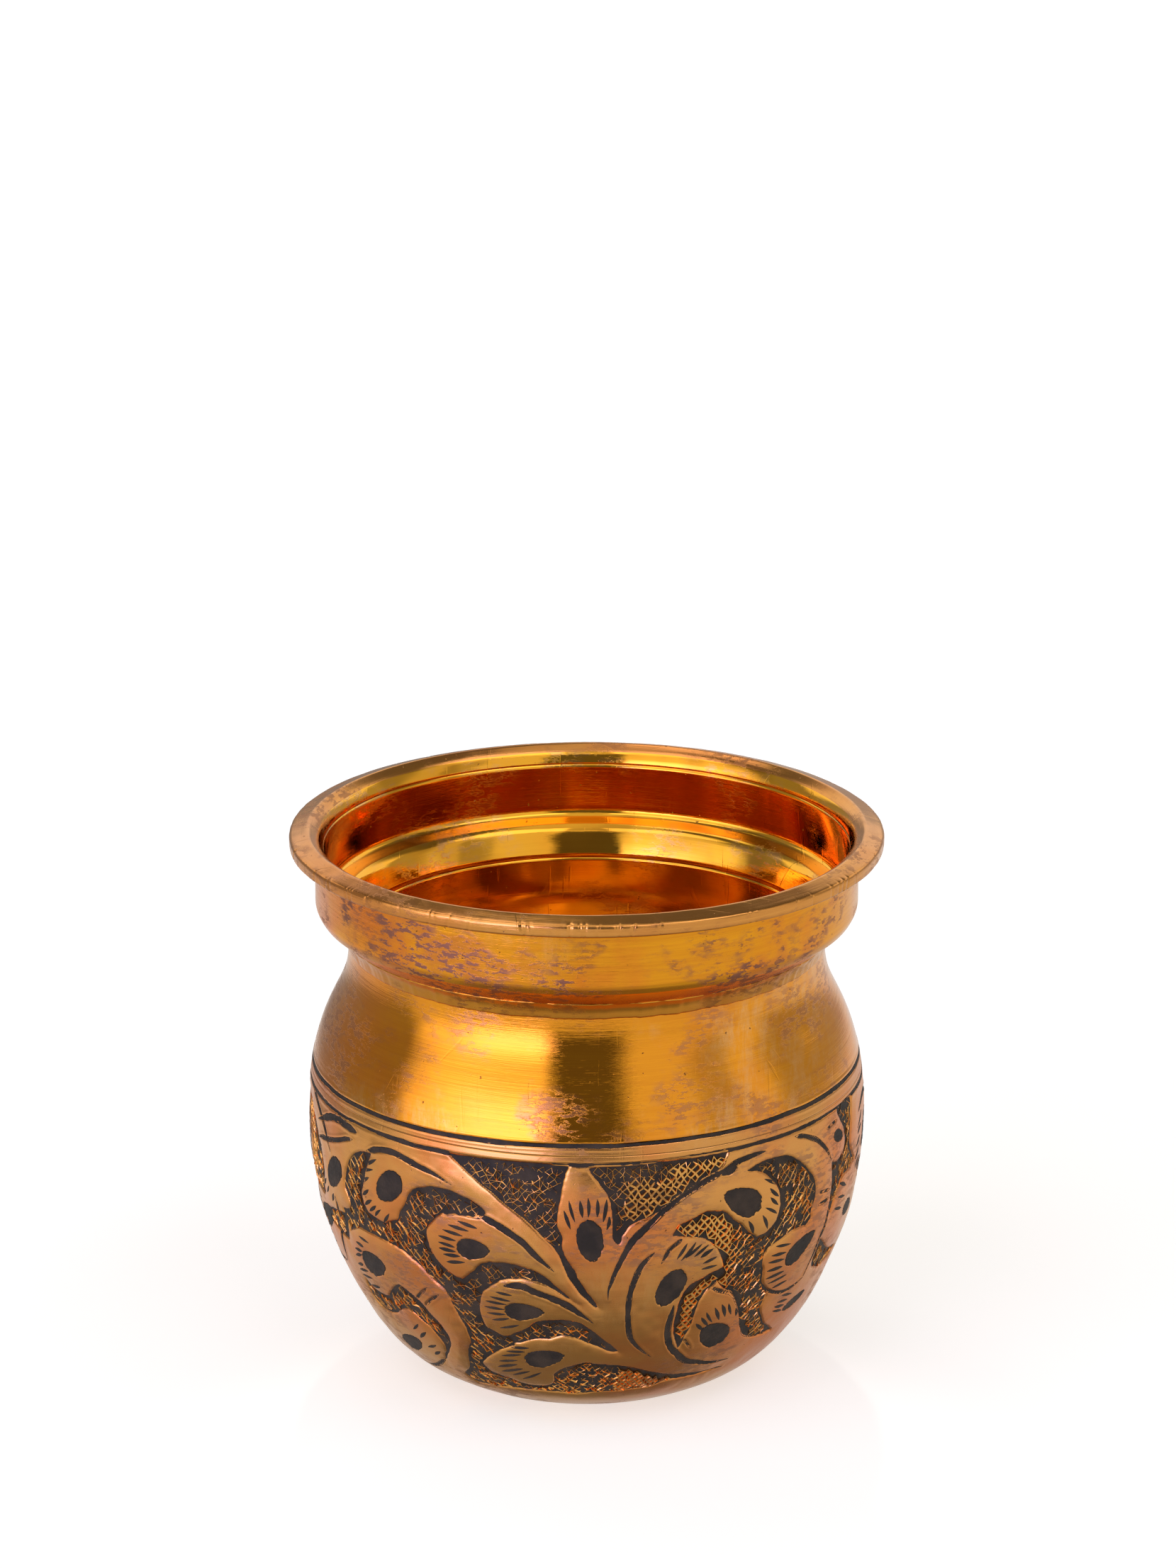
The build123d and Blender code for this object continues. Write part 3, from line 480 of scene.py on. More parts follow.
def open_line(points, step):
    """Centre line through the points, as places about a step apart and the run to each."""
    curve = np.vstack((smooth_edge(points, 8), points[-1]))
    across = np.radians(np.diff(curve[:, 0])) * wall_radius((curve[1:, 1] + curve[:-1, 1]) / 2)
    run = np.concatenate(([0.0], np.cumsum(np.hypot(across, np.diff(curve[:, 1])))))
    where = np.linspace(0, run[-1], max(6, int(run[-1] / step) + 1))
    return np.stack([np.interp(where, run, part) for part in curve.T], axis=1), where


def turned_rows(flank, spray, hook):
    """Each row with the turn that places it, all round the pot."""
    for turns, rows in ((NO_TURN, flank), (SPRAY_TURNS, spray), (HOOK_TURNS, hook)):
        for turn in turns:
            for row in rows:
                yield turn, row


def eye_outline(azimuth, arc, half_length, half_width, tilt, draw, count=48):
    """A tilted oval on the wall, which draws in towards one end."""
    angle = np.arange(count) * TAU / count
    along = half_length * np.cos(angle)
    across = half_width * np.sin(angle) * (1 - draw * np.cos(angle) * 0.6)
    lean = math.radians(tilt)
    turn = np.degrees(1 / wall_radius(arc))
    return np.stack((
        azimuth + (along * math.cos(lean) - across * math.sin(lean)) * turn,
        arc + along * math.sin(lean) + across * math.cos(lean),
    ), axis=1)


# ---- distance fields on the grid of the bowl -----------------------------------------------
BELLY_RADIUS = 51.0
LEAST_RADIUS = 38.0  # of the wall where the ornament lies
GRID_STEP = 0.28  # along the arc and round the belly
COLUMNS = int(TAU * BELLY_RADIUS / GRID_STEP)
ROWS = int(JOINT_ARC / GRID_STEP)
GRID_AZIMUTH = np.arange(COLUMNS) * 360 / COLUMNS
GRID_ARC = np.linspace(0, JOINT_ARC, ROWS)
FAR = 5.0  # how far a field reaches out from its line or outline


def grid_window(azimuths, arcs):
    """Columns and rows of the grid within reach of some places, and where they are."""
    reach = math.degrees(FAR / LEAST_RADIUS)
    first = int((min(azimuths) - reach) / 360 * COLUMNS) - 1
    last = int((max(azimuths) + reach) / 360 * COLUMNS) + 1
    rows = np.nonzero((GRID_ARC > min(arcs) - FAR) & (GRID_ARC < max(arcs) + FAR))[0]
    columns = np.arange(first, last)
    azimuth = columns * 360 / COLUMNS
    return np.ix_(rows, columns % COLUMNS), azimuth[None, :], GRID_ARC[rows][:, None]


def read_grid(field, azimuth, arc):
    """A grid field at any places."""
    across = (np.asarray(azimuth) % 360) / 360 * COLUMNS
    up = np.clip(np.asarray(arc) / JOINT_ARC * (ROWS - 1), 0, ROWS - 1.001)
    return between_four(field, across, up)


def ragged(azimuth, arc, amount, seed):
    """Places moved a little by noise, which gives an outline its hand-cut edge."""
    layers = (0.5, 0.8), (0.5, 2.3)
    turn = np.degrees(1 / wall_radius(arc))
    return (azimuth + amount * turn * grains(azimuth, arc, seed, *layers),
            arc + amount * grains(azimuth, arc, seed + len(layers), *layers))


def line_distance(azimuth, arc, start, end, scale):
    """Distance to one straight stretch, and the share of it up to the nearest place."""
    across = (azimuth - start[0]) * scale
    up = arc - start[1]
    run_across = (end[0] - start[0]) * scale
    run_up = end[1] - start[1]
    length_squared = run_across ** 2 + run_up ** 2 + 1e-9
    share = np.clip((across * run_across + up * run_up) / length_squared, 0, 1)
    return np.hypot(across - share * run_across, up - share * run_up), share


def outline_field(outline, azimuth, arc):
    """Distance from a closed outline, above zero inside it."""
    scale = arc_per_degree(arc)
    nearest = np.full(np.broadcast(azimuth, arc).shape, 1e9)
    inside = np.zeros(nearest.shape, dtype=bool)
    for start, end in zip(outline, np.roll(outline, -1, axis=0)):
        nearest = np.minimum(nearest, line_distance(azimuth, arc, start, end, scale)[0])
        if start[1] != end[1]:
            crossing = start[0] + (arc - start[1]) / (end[1] - start[1]) * (end[0] - start[0])
            inside ^= ((start[1] > arc) != (end[1] > arc)) & (azimuth < crossing)
    return np.where(inside, nearest, -nearest)


def ground_field():
    """How deep inside the punched ground each place of the grid is."""
    field = np.full((ROWS, COLUMNS), -FAR)
    for turn, edges in turned_rows(FLANK_GROUND, SPRAY_GROUND, HOOK_GROUND):
        outline = closed_outline(edges) + (turn, 0)
        window, azimuth, arc = grid_window(*outline.T)
        depth = outline_field(outline, *ragged(azimuth, arc, EDGE_JAG, 20))
        field[window] = np.maximum(field[window], depth)
    return field


def taper(share):
    """Width of a cut along its length: blunt where the tool went in, thin where it came out."""
    return np.clip(share / 0.12, 0, 1) ** 0.6 * np.clip((1 - share) / 0.3, 0, 1) ** 0.7


def cut_field():
    """How far inside the long cuts each place of the grid is."""
    field = np.full((ROWS, COLUMNS), -FAR)
    for turn, (width, *places) in turned_rows(FLANK_CUTS, SPRAY_CUTS, HOOK_CUTS):
        line, run = open_line(places, 1.0)
        line = line + (turn, 0)
        window, azimuth, arc = grid_window(*line.T)
        scale = arc_per_degree(arc)
        for start, end, run_start, run_end in zip(line, line[1:], run, run[1:]):
            distance, share = line_distance(azimuth, arc, start, end, scale)
            along = (run_start + share * (run_end - run_start)) / run[-1]
            field[window] = np.maximum(field[window], width / 2 * taper(along) - distance)
    return field


def eye_field():
    """How far inside the feather eyes each place of the grid is."""
    field = np.full((ROWS, COLUMNS), -FAR)
    for turn, (azimuth, *rest) in turned_rows(FLANK_EYES, SPRAY_EYES, HOOK_EYES):
        outline = eye_outline(azimuth + turn, *rest)
        window, azimuths, arcs = grid_window(*outline.T)
        field[window] = np.maximum(field[window], outline_field(outline, azimuths, arcs))
    return field


def carve(depth_inside):
    """Depth of the groove at a distance inside the edge of a cut."""
    return CUT_DEPTH * ease(depth_inside, 0.06, 0.4)


def burr(depth_inside):
    """The small raised lip that a chasing tool pushes up just outside a cut."""
    return BURR * np.exp(-((np.minimum(depth_inside, 0) + 0.3) / 0.22) ** 2)


def ring_depth(arc, ring_arc, width):
    """How far inside an engraved ring places are."""
    return width / 2 - np.abs(arc - ring_arc)


def chased_height(ground, cuts, eyes):
    """Height of the worked brass over the spun wall, on the grid of the bowl."""
    azimuth = GRID_AZIMUTH[None, :]
    arc = GRID_ARC[:, None]
    cuts = np.maximum(cuts, ring_depth(arc, lower_ring_arc(azimuth), LOWER_RING_WIDTH))
    outside = np.maximum(-ground, 0)
    worked = ease(arc, 6, 10) * (1 - ease(arc, 62.5, 64))  # not near the bottom and the rings
    height = (-CROWN * np.exp(-outside / 1.1) - 0.12 * np.exp(-outside / 3.2)) * worked
    height += worked * grains(azimuth, arc, 11, (0.06, 5.0), (0.03, 1.7))
    height += burr(cuts) * worked
    wall = ease(ground, -0.12, 0.34)
    height = height * (1 - wall) + GROUND_FLOOR * wall
    height -= (1 - wall) * np.maximum(carve(cuts), 0.9 * carve(eyes))
    return height + dents(azimuth, arc)


GROUND = ground_field()
CHASED = chased_height(GROUND, cut_field(), eye_field())


def brass_at(azimuth, arc):
    """Height of the brass over the spun wall, on bowl and shoulder."""
    return np.where(arc < JOINT_ARC, read_grid(CHASED, azimuth, arc), dents(azimuth, arc))


def new_piece(name, points, polygons, material, nodes, smooth=True):
    """A mesh that rides on the pot, stands for some CAD nodes and wears a material."""
    mesh = bpy.data.meshes.new(name)
    mesh.from_pydata(points.tolist(), [], polygons)
    mesh.polygons.foreach_set("use_smooth", [smooth] * len(mesh.polygons))
    mesh.update()
    piece = bpy.data.objects.new(name, mesh)
    bpy.context.scene.collection.objects.link(piece)
    mesh.materials.append(material)
    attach(piece, "root")
    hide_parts(*nodes)
    return piece


def resurface(piece, material, choose):
    """Gives some faces, chosen from their centres and normals, a material of their own."""
    mesh = piece.data
    mesh.materials.append(material)
    normals = np.empty(len(mesh.polygons) * 3)
    centres = np.empty(len(mesh.polygons) * 3)
    mesh.polygons.foreach_get("normal", normals)
    mesh.polygons.foreach_get("center", centres)
    chosen = choose(centres.reshape(-1, 3) / MM, normals.reshape(-1, 3))
    index = np.empty(len(mesh.polygons), np.int32)
    mesh.polygons.foreach_get("material_index", index)
    index[chosen] = len(mesh.materials) - 1
    mesh.polygons.foreach_set("material_index", index)
    return piece


def looks_inwards(centres, normals):
    """Faces that look at the axis, below the rounded edge of the mouth."""
    radius = np.hypot(centres[:, 0], centres[:, 1])
    inward = (centres[:, :2] * normals[:, :2]).sum(axis=1) < -0.05 * radius
    return inward & (centres[:, 2] < LIP_TOP_Z - 1.3)


def under_ring(centres, normals):
    """Outer faces of the shoulder below its ring, which were chased and rubbed like the bowl."""
    azimuth = np.degrees(np.arctan2(centres[:, 0], -centres[:, 1]))
    level = wall_rows(upper_ring_arc(azimuth), 0.0)[1]
    return (centres[:, 2] < level) & ~looks_inwards(centres, normals)


def deep_inside(centres, normals):
    """Faces of the bowl's inner wall and floor."""
    wall = np.interp(centres[:, 2], HEIGHT, RADIUS)
    return (np.hypot(centres[:, 0], centres[:, 1]) < wall - 1.5) & (centres[:, 2] > 1.0)


def ring_quads(rows, columns, close_rows=False):
    """Quads of a grid that closes on itself sideways, facing out where rows climb."""
    row = np.arange(rows if close_rows else rows - 1)[:, None] + np.zeros(columns, int)
    column = np.arange(columns)
    above = (row + 1) % rows
    after = (column + 1) % columns
    corners = (row * columns + column, row * columns + after,
               above * columns + after, above * columns + column)
    return np.stack(corners, axis=-1).reshape(-1, 4)


def tube_faces(rows, columns, closed=False):
    """Faces of a solid tube of rows, with both ends capped unless the rows meet."""
    faces = ring_quads(rows, columns, closed).tolist()
    if not closed:
        faces.append(list(range(columns))[::-1])
        faces.append(list(range((rows - 1) * columns, rows * columns)))
    return faces


def joined(solids):
    """Points and faces of many separate solids as one set."""
    faces = []
    total = 0
    for points, own_faces in solids:
        faces += [[total + corner for corner in face] for face in own_faces]
        total += len(points)
    return np.vstack([points for points, own_faces in solids]), faces


def lathe_rows(profile, azimuth, shake=None):
    """Points of a profile turned round the axis. shake moves each (radius, height) a little."""
    profile = np.array(profile)
    radius = np.repeat(profile[:, :1], len(azimuth), axis=1)
    level = np.repeat(profile[:, 1:], len(azimuth), axis=1)
    if shake is not None:
        move_radius, move_level = shake(azimuth[None, :], radius, level)
        radius = radius + move_radius
        level = level + move_level
    return turn_out(azimuth[None, :], radius, level)


def rounded(corners, steps=5):
    """Profile with each corner (radius, height, size) rounded, or kept where its size is 0."""
    profile = []
    count = len(corners)
    for number, (radius, height, size) in enumerate(corners):
        here = np.array((radius, height))
        if size == 0:
            profile.append(here)
            continue
        before = np.array(corners[number - 1][:2]) - here
        after = np.array(corners[(number + 1) % count][:2]) - here
        start = here + before / np.linalg.norm(before) * size
        end = here + after / np.linalg.norm(after) * size
        for step in range(steps + 1):
            t = step / steps
            profile.append((1 - t) ** 2 * start + 2 * t * (1 - t) * here + t ** 2 * end)
    return profile


def filled_in(profile, spacing):
    """Closed profile with more points on its long stretches."""
    points = []
    for start, end in zip(profile, profile[1:] + profile[:1]):
        count = max(1, int(np.linalg.norm(end - start) / spacing))
        points += [start + (end - start) * step / count for step in range(count)]
    return points


def inner_wall(arc_start, arc_end, count):
    """Profile of the inside of the wall between two arcs of the outside."""
    arc = np.linspace(arc_start, arc_end, count)
    depth = FLOOR_THICKNESS + arc / WALL_LENGTH * (NECK_THICKNESS - FLOOR_THICKNESS)
    return list(zip(*wall_rows(arc, -depth)))


def make_bowl(material):
    """The chased lower body: worked outer wall, plain inner wall, floor and flat bottom."""
    radius, level = wall_rows(GRID_ARC[:, None], CHASED)
    outer = turn_out(GRID_AZIMUTH[None, :], radius, level)
    outer[:COLUMNS, 2] = 0.0
    outer[-COLUMNS:, 2] = JOINT_Z * MM
    under = [(2.0, 0.25), (10.0, 0.25), (18.0, 0.2), (24.0, 0.12), (BASE_RADIUS - 1.2, 0.0)]
    inside = [(r, z) for r, z in inner_wall(JOINT_ARC, 8.0, 30) if z > FLOOR_THICKNESS * 1.6]
    inside[0] = (inside[0][0], JOINT_Z)
    inside.append((BASE_RADIUS + 1.5, FLOOR_THICKNESS + 0.35))
    inside += [(r, FLOOR_THICKNESS) for r in (BASE_RADIUS - 1.0, 22.0, 15.0, 8.0, 2.0)]
    rows = len(under) + ROWS + len(inside)
    points = np.vstack((lathe_rows(under, GRID_AZIMUTH), outer, lathe_rows(inside, GRID_AZIMUTH)))
    return new_piece("bowl_chased", points, tube_faces(rows, COLUMNS), material, ["bowl"])


def make_lathe(name, profile, columns, material, node, shake):
    """A closed ring: its profile runs up the outside and back down the inside."""
    points = lathe_rows(profile, np.arange(columns) * 360 / columns, shake)
    return new_piece(name, points, tube_faces(len(profile), columns, closed=True), material, [node])


def make_shoulder(material):
    """Plain upper body, with the groove of the upper ring."""
    columns = 900
    groove_end = 69.2  # close rows up to here, and wide ones above
    azimuth = np.arange(columns) * 360 / columns
    worked = np.arange(JOINT_ARC + 0.3, groove_end, 0.16)
    plain = np.arange(groove_end + 0.1, WALL_LENGTH - 0.6, 0.6)
    arc = np.concatenate(([JOINT_ARC], worked, plain, [WALL_LENGTH]))[:, None]
    groove = ring_depth(arc, upper_ring_arc(azimuth), UPPER_RING_WIDTH)
    radius, level = wall_rows(arc, dents(azimuth, arc) - carve(groove) + burr(groove))
    level[0] = JOINT_Z
    inside = inner_wall(WALL_LENGTH, JOINT_ARC, 40)
    inside[0] = (NECK_RADIUS - NECK_THICKNESS, NECK_TOP_Z)
    inside[-1] = (inside[-1][0], JOINT_Z)
    points = np.vstack((turn_out(azimuth, radius, level), lathe_rows(inside, azimuth)))
    faces = tube_faces(len(arc) + len(inside), columns, closed=True)
    return new_piece("shoulder_spun", points, faces, material, ["shoulder"])


def hand_worn(size, seed):
    """Slow unevenness for a turned ring, in radius and height."""
    def shake(azimuth, radius, level):
        out = grains(azimuth, level, seed, (size, 23.0), (0.3 * size, 5.0))
        return out, 0.6 * size * grain(azimuth, level, 31.0, seed + 2)
    return shake


def make_collar(material):
    """Upright band with a sloping underside, and inside it a ledge over the throat."""
    corners = (
        (NECK_RADIUS, NECK_TOP_Z, 0), (45.3, NECK_TOP_Z + 1.9, 0.8),
        (48.6, COLLAR_FOOT_Z - 0.5, 0.5), (COLLAR_RADIUS, COLLAR_FOOT_Z + 1.0, 0.7),
        (COLLAR_RADIUS, COLLAR_TOP_Z, 0), (COLLAR_BORE_RADIUS, COLLAR_TOP_Z, 0),
        (COLLAR_BORE_RADIUS, LEDGE_Z + 0.1, 1.2), (44.1, LEDGE_Z - 1.1, 1.4),
        (42.5, LEDGE_Z - 4.6, 1.2), (NECK_RADIUS - NECK_THICKNESS, NECK_TOP_Z, 0),
    )
    profile = filled_in(rounded(corners), 0.7)
    return make_lathe("collar_band", profile, 720, material, "collar", hand_worn(0.05, 41))


def make_lip(material):
    """Heavy ring with a sloping top, a flaring mouth and a filed edge with small splits."""
    edge_top = LIP_TOP_Z - 0.9
    corners = (
        (COLLAR_BORE_RADIUS, LIP_FOOT_Z, 0), (LIP_RADIUS - 1.2, LIP_FOOT_Z, 0.25),
        (LIP_RADIUS - 0.1, edge_top - 2.2, 0.35), (LIP_RADIUS - 0.05, edge_top - 0.1, 0.6),
        (LIP_RADIUS - 3.5, LIP_TOP_Z, 0.45), (48.75, 101.0, 0.9), (47.95, 99.4, 0.5),
    )
    rng = np.random.default_rng(52)
    splits = np.concatenate((rng.uniform(-60, 60, 34), rng.uniform(60, 300, 40)))
    deep = rng.uniform(0.05, 0.22, len(splits))
    broad = rng.uniform(0.12, 0.3, len(splits))
    lean = rng.uniform(-0.3, 0.3, len(splits))

    def shake(azimuth, radius, level):
        edge = ease(radius, LIP_RADIUS - 1.6, LIP_RADIUS - 0.2)
        out = 0.1 * grain(azimuth, 0, 26.0, 53) + 0.05 * grain(azimuth, level, 6.0, 54)
        out = out + 0.03 * grain(azimuth, level * 2, 1.8, 55) * edge
        for place, cut, half, slant in zip(splits, deep, broad, lean):
            off = (azimuth - place - slant * (level - edge_top) + 180) % 360 - 180
            out = out - cut * edge * np.exp(-(np.radians(off) * LIP_RADIUS / half) ** 2)
        up = 0.12 * grain(azimuth, 0, 34.0, 56) + 0.03 * grain(azimuth, radius, 3.5, 57)
        return out * (0.35 + 0.65 * edge), up * ease(level, LIP_FOOT_Z, LIP_FOOT_Z + 1.0)

    profile = filled_in(rounded(corners), 0.4)
    return make_lathe("lip_ring_turned", profile, 1440, material, "lip_ring", shake)


def make_brazes(material):
    """Uneven fillets at the two outer seams and a bead inside the belly."""
    def flow(size, seed):
        def shake(azimuth, radius, level):
            swell = size * grains(azimuth, 0, seed, (1.0, 3.0), (0.7, 0.9))
            return swell, -swell
        return shake

    lip = rounded((
        (COLLAR_RADIUS - 0.3, COLLAR_TOP_Z - 1.3, 0),
        (COLLAR_RADIUS + 0.35, COLLAR_TOP_Z - 0.45, 0.4),
        (COLLAR_RADIUS + 1.1, COLLAR_TOP_Z + 0.05, 0),
        (COLLAR_RADIUS - 0.3, COLLAR_TOP_Z + 0.05, 0),
    ))
    neck = rounded((
        (NECK_RADIUS - 0.45, NECK_TOP_Z - 2.0, 0), (NECK_RADIUS + 0.25, NECK_TOP_Z - 1.6, 0.3),
        (NECK_RADIUS + 0.75, NECK_TOP_Z + 0.25, 1.0), (45.2, NECK_TOP_Z + 1.75, 0),
        (44.4, NECK_TOP_Z + 1.6, 0), (NECK_RADIUS - 0.4, NECK_TOP_Z, 0),
    ))
    seam_radius = wall_rows(np.array([JOINT_ARC]), -1.85)[0][0]
    bead_angles = [step * TAU / 12 for step in range(12)]
    bead = [(seam_radius + 0.95 * math.cos(angle), JOINT_Z + 1.0 * math.sin(angle))
            for angle in bead_angles]
    for name, profile, columns, node, size, seed in (
        ("lip_braze_fillet", filled_in(lip, 0.3), 1080, "lip_braze", 0.09, 61),
        ("neck_braze_fillet", filled_in(neck, 0.4), 720, "neck_braze", 0.06, 64),
        ("belly_braze_bead", bead, 720, "belly_braze", 0.1, 67),
    ):
        make_lathe(name, profile, columns, material, node, flow(size, seed))


# ---- the black fillings ----------------------------------------------------------------------
# Section of a narrow filling, as (share of the half width, share of the sag), then its foot.
SECTION_TOP = ((-1.0, 0.0), (-0.55, 0.75), (0.0, 1.0), (0.55, 0.75), (1.0, 0.0))
SECTION_FOOT = (0.75, -0.75)
SECTION = len(SECTION_TOP) + len(SECTION_FOOT)


def strip(line, width, sag):
    """Points and faces of a narrow filling that follows a line on the wall."""
    azimuth, arc = line.T
    scale = arc_per_degree(arc)
    run_across = np.gradient(azimuth) * scale
    run_up = np.gradient(arc)
    length = np.hypot(run_across, run_up) + 1e-9
    side_azimuth = run_up / length / scale
    side_arc = -run_across / length

    def beside(share):
        return azimuth + share * width / 2 * side_azimuth, arc + share * width / 2 * side_arc

    left = brass_at(*beside(-1.0))
    right = brass_at(*beside(1.0))
    rows = []
    for share, drop in SECTION_TOP:
        mix = (share + 1) / 2
        rough = 0.02 * grain(*beside(share), 0.6, 81) if drop else 0
        height = left * (1 - mix) + right * mix + LIFT - sag * drop + rough
        rows.append(on_wall(*beside(share), height))
    rows += [on_wall(*beside(share), FILL_FOOT) for share in SECTION_FOOT]
    return np.stack(rows, axis=1).reshape(-1, 3), tube_faces(len(line), SECTION)


def make_cut_fills(material):
    """Lac in the long tapering cuts."""
    strips = []
    for turn, (width, *places) in turned_rows(FLANK_CUTS, SPRAY_CUTS, HOOK_CUTS):
        line, run = open_line(places, 0.22)
        line = line + (turn, 0)
        noise = 1 + 0.16 * grain(*line.T, 0.7, 70) + 0.12 * grain(*line.T, 3.0, 71)
        widths = 1.12 * width * np.maximum(taper(run / run[-1]), 0.06) * noise
        strips.append(strip(line, widths, 0.12 * widths / width))
    return new_piece("stem_cut_fill", *joined(strips), material, ["stem_cut_lac"])


def make_barb_fills(material):
    """Lac in the short cuts round the eyes, each a little bent."""
    rng = np.random.default_rng(75)
    strips = []
    for turn, ends in turned_rows(FLANK_BARBS, SPRAY_BARBS, HOOK_BARBS):
        line, run = open_line(ends, 0.2)
        share = run / run[-1]
        bend = rng.uniform(-0.25, 0.25)
        line = line + (turn, 0)
        line[:, 0] += bend * np.sin(share * math.pi)
        body = np.maximum(np.sin(np.clip(share, 0.02, 0.98) * math.pi) ** 0.7, 0.08)
        widths = rng.uniform(0.56, 0.78) * body * (1 + 0.1 * grain(*line.T, 0.6, 76))
        strips.append(strip(line, widths, 0.0))
    return new_piece("barb_fill", *joined(strips), material, ["barb_lac"])


def make_ring_fill(name, ring_arc, base_width, seed, material, node):
    """Lac in an engraved ring. Its line runs on past the start, so that the ends match."""
    azimuth = np.arange(1800) * 0.2
    reach = 2
    place = np.concatenate((azimuth[-reach:] - 360, azimuth, azimuth[:reach] + 360))
    own = np.concatenate((azimuth[-reach:], azimuth, azimuth[:reach]))
    width = base_width * (0.8 + 0.3 * grain(own, 0, 9.0, seed) + 0.14 * grain(own, 0, 0.7, seed + 1))
    points = strip(np.stack((place, ring_arc(own)), axis=1), width, 0.1)[0]
    points = points[reach * SECTION:-reach * SECTION]  # one turn, without the ends that overlap
    return new_piece(name, points, tube_faces(len(azimuth), SECTION, closed=True), material, [node])


def make_eye_fills(material):
    """Broad flat fillings of the feather eyes, with edges ragged from the gouge."""
    count = 96
    angle = np.arange(count) * 360 / count
    eyes = []
    for number, (turn, row) in enumerate(turned_rows(FLANK_EYES, SPRAY_EYES, HOOK_EYES)):
        middle = np.array((row[0] + turn, row[1]))
        outline = eye_outline(*middle, *row[2:], count) - middle
        jag = grains(angle, 7 + number, 82, (0.045, 5.5), (0.03, 16.0))
        rows = [on_wall(*(middle + outline * 0.85).T, FILL_FOOT)]
        for ring in (1.0, 0.9, 0.7, 0.4):
            place = (middle + outline * (ring * (1 + jag * ring))[:, None]).T
            edge = brass_at(*place) if ring == 1.0 else edge * 0.6 + np.mean(edge) * 0.4
            drop = 0.0 if ring == 1.0 else 0.04 + 0.03 * (1 - ring)
            rows.append(on_wall(*place, edge + LIFT - drop + 0.015 * grain(*place, 0.7, 84)))
        eyes.append((np.vstack(rows), tube_faces(len(rows), count)))
    return new_piece("feather_eye_fill", *joined(eyes), material, ["feather_eye_lac"])


def make_ground_fill(material):
    """Lac that lies in all the punched ground. Its edge hides inside the brass wall."""
    columns = COLUMNS // 2
    rows = ROWS // 2
    hidden_edge = -0.5
    foot = -1.1
    across, up = np.meshgrid(np.arange(columns) * 360 / columns, np.linspace(0, JOINT_ARC, rows))
    level = GROUND_LAC + 0.05 * grain(across, up, 1.3, 91) + 0.03 * grain(across, up, 0.7, 92)
    cell = read_grid(GROUND, across, up) > hidden_edge
    keep = cell[:-1] | cell[1:]
    keep = keep | np.roll(keep, -1, axis=1)
    quads = ring_quads(rows, columns)[keep.ravel()]
    layers = on_wall(across, up, level), on_wall(across, up, foot)
    return closed_skin("ground_fill", *layers, quads, material, ["ground_lac"])


def closed_skin(name, top, bottom, quads, material, nodes):
    """A solid between two layers of matching points, with walls round its outer edges."""
    count = len(top)
    starts = quads.ravel()
    ends = np.roll(quads, -1, axis=1).ravel()
    rim = ~np.isin(starts * count + ends, ends * count + starts)
    walls = np.stack((starts[rim], starts[rim] + count, ends[rim] + count, ends[rim]), axis=1)
    faces = np.vstack((quads, quads[:, ::-1] + count, walls))
    used, packed = np.unique(faces, return_inverse=True)
    points = np.vstack((top, bottom))[used]
    return new_piece(name, points, packed.reshape(faces.shape).tolist(), material, nodes)


# ---- the crests between the punch marks -----------------------------------------------------
PUNCH_WIDTH = 1.4
PUNCH_RISE = 0.8
PUNCH_FOOT_ARC = 5.0
PIT_FLOOR = -1.3
NET_FOOT = -1.4
NET_EDGE = 0.75  # how deep inside the ground a punch mark has to lie
SIDE_SHIFT, RISE_SHIFT = 0.3, 0.36  # most that a crest strays, in widths and rises of a mark
HEIGHT_SPREAD = 0.08
WORN_SHARE = 0.2  # of the crests, which lie under the lac
SPLIT_UP, SPLIT_ACROSS = 0.22, 0.42  # shares of the marks that a crest halves, added up
LAND_LEFT, LAND_RIGHT, LAND_HIGHEST = 8.0, 31.0, 63.2
NOTCH_RIGHT, NOTCH_FOOT = 17.0, 60.3  # corner left out of the open land


def on_open_land(azimuth, arc):
    """Whether a place is on the ground right of the middle feather, where marks stand apart."""
    for turn in SPRAY_TURNS:
        local = (azimuth - turn + 180) % 360 - 180
        notch = local < NOTCH_RIGHT and arc > NOTCH_FOOT
        if LAND_LEFT < local < LAND_RIGHT and arc < LAND_HIGHEST and not notch:
            return True
    return False


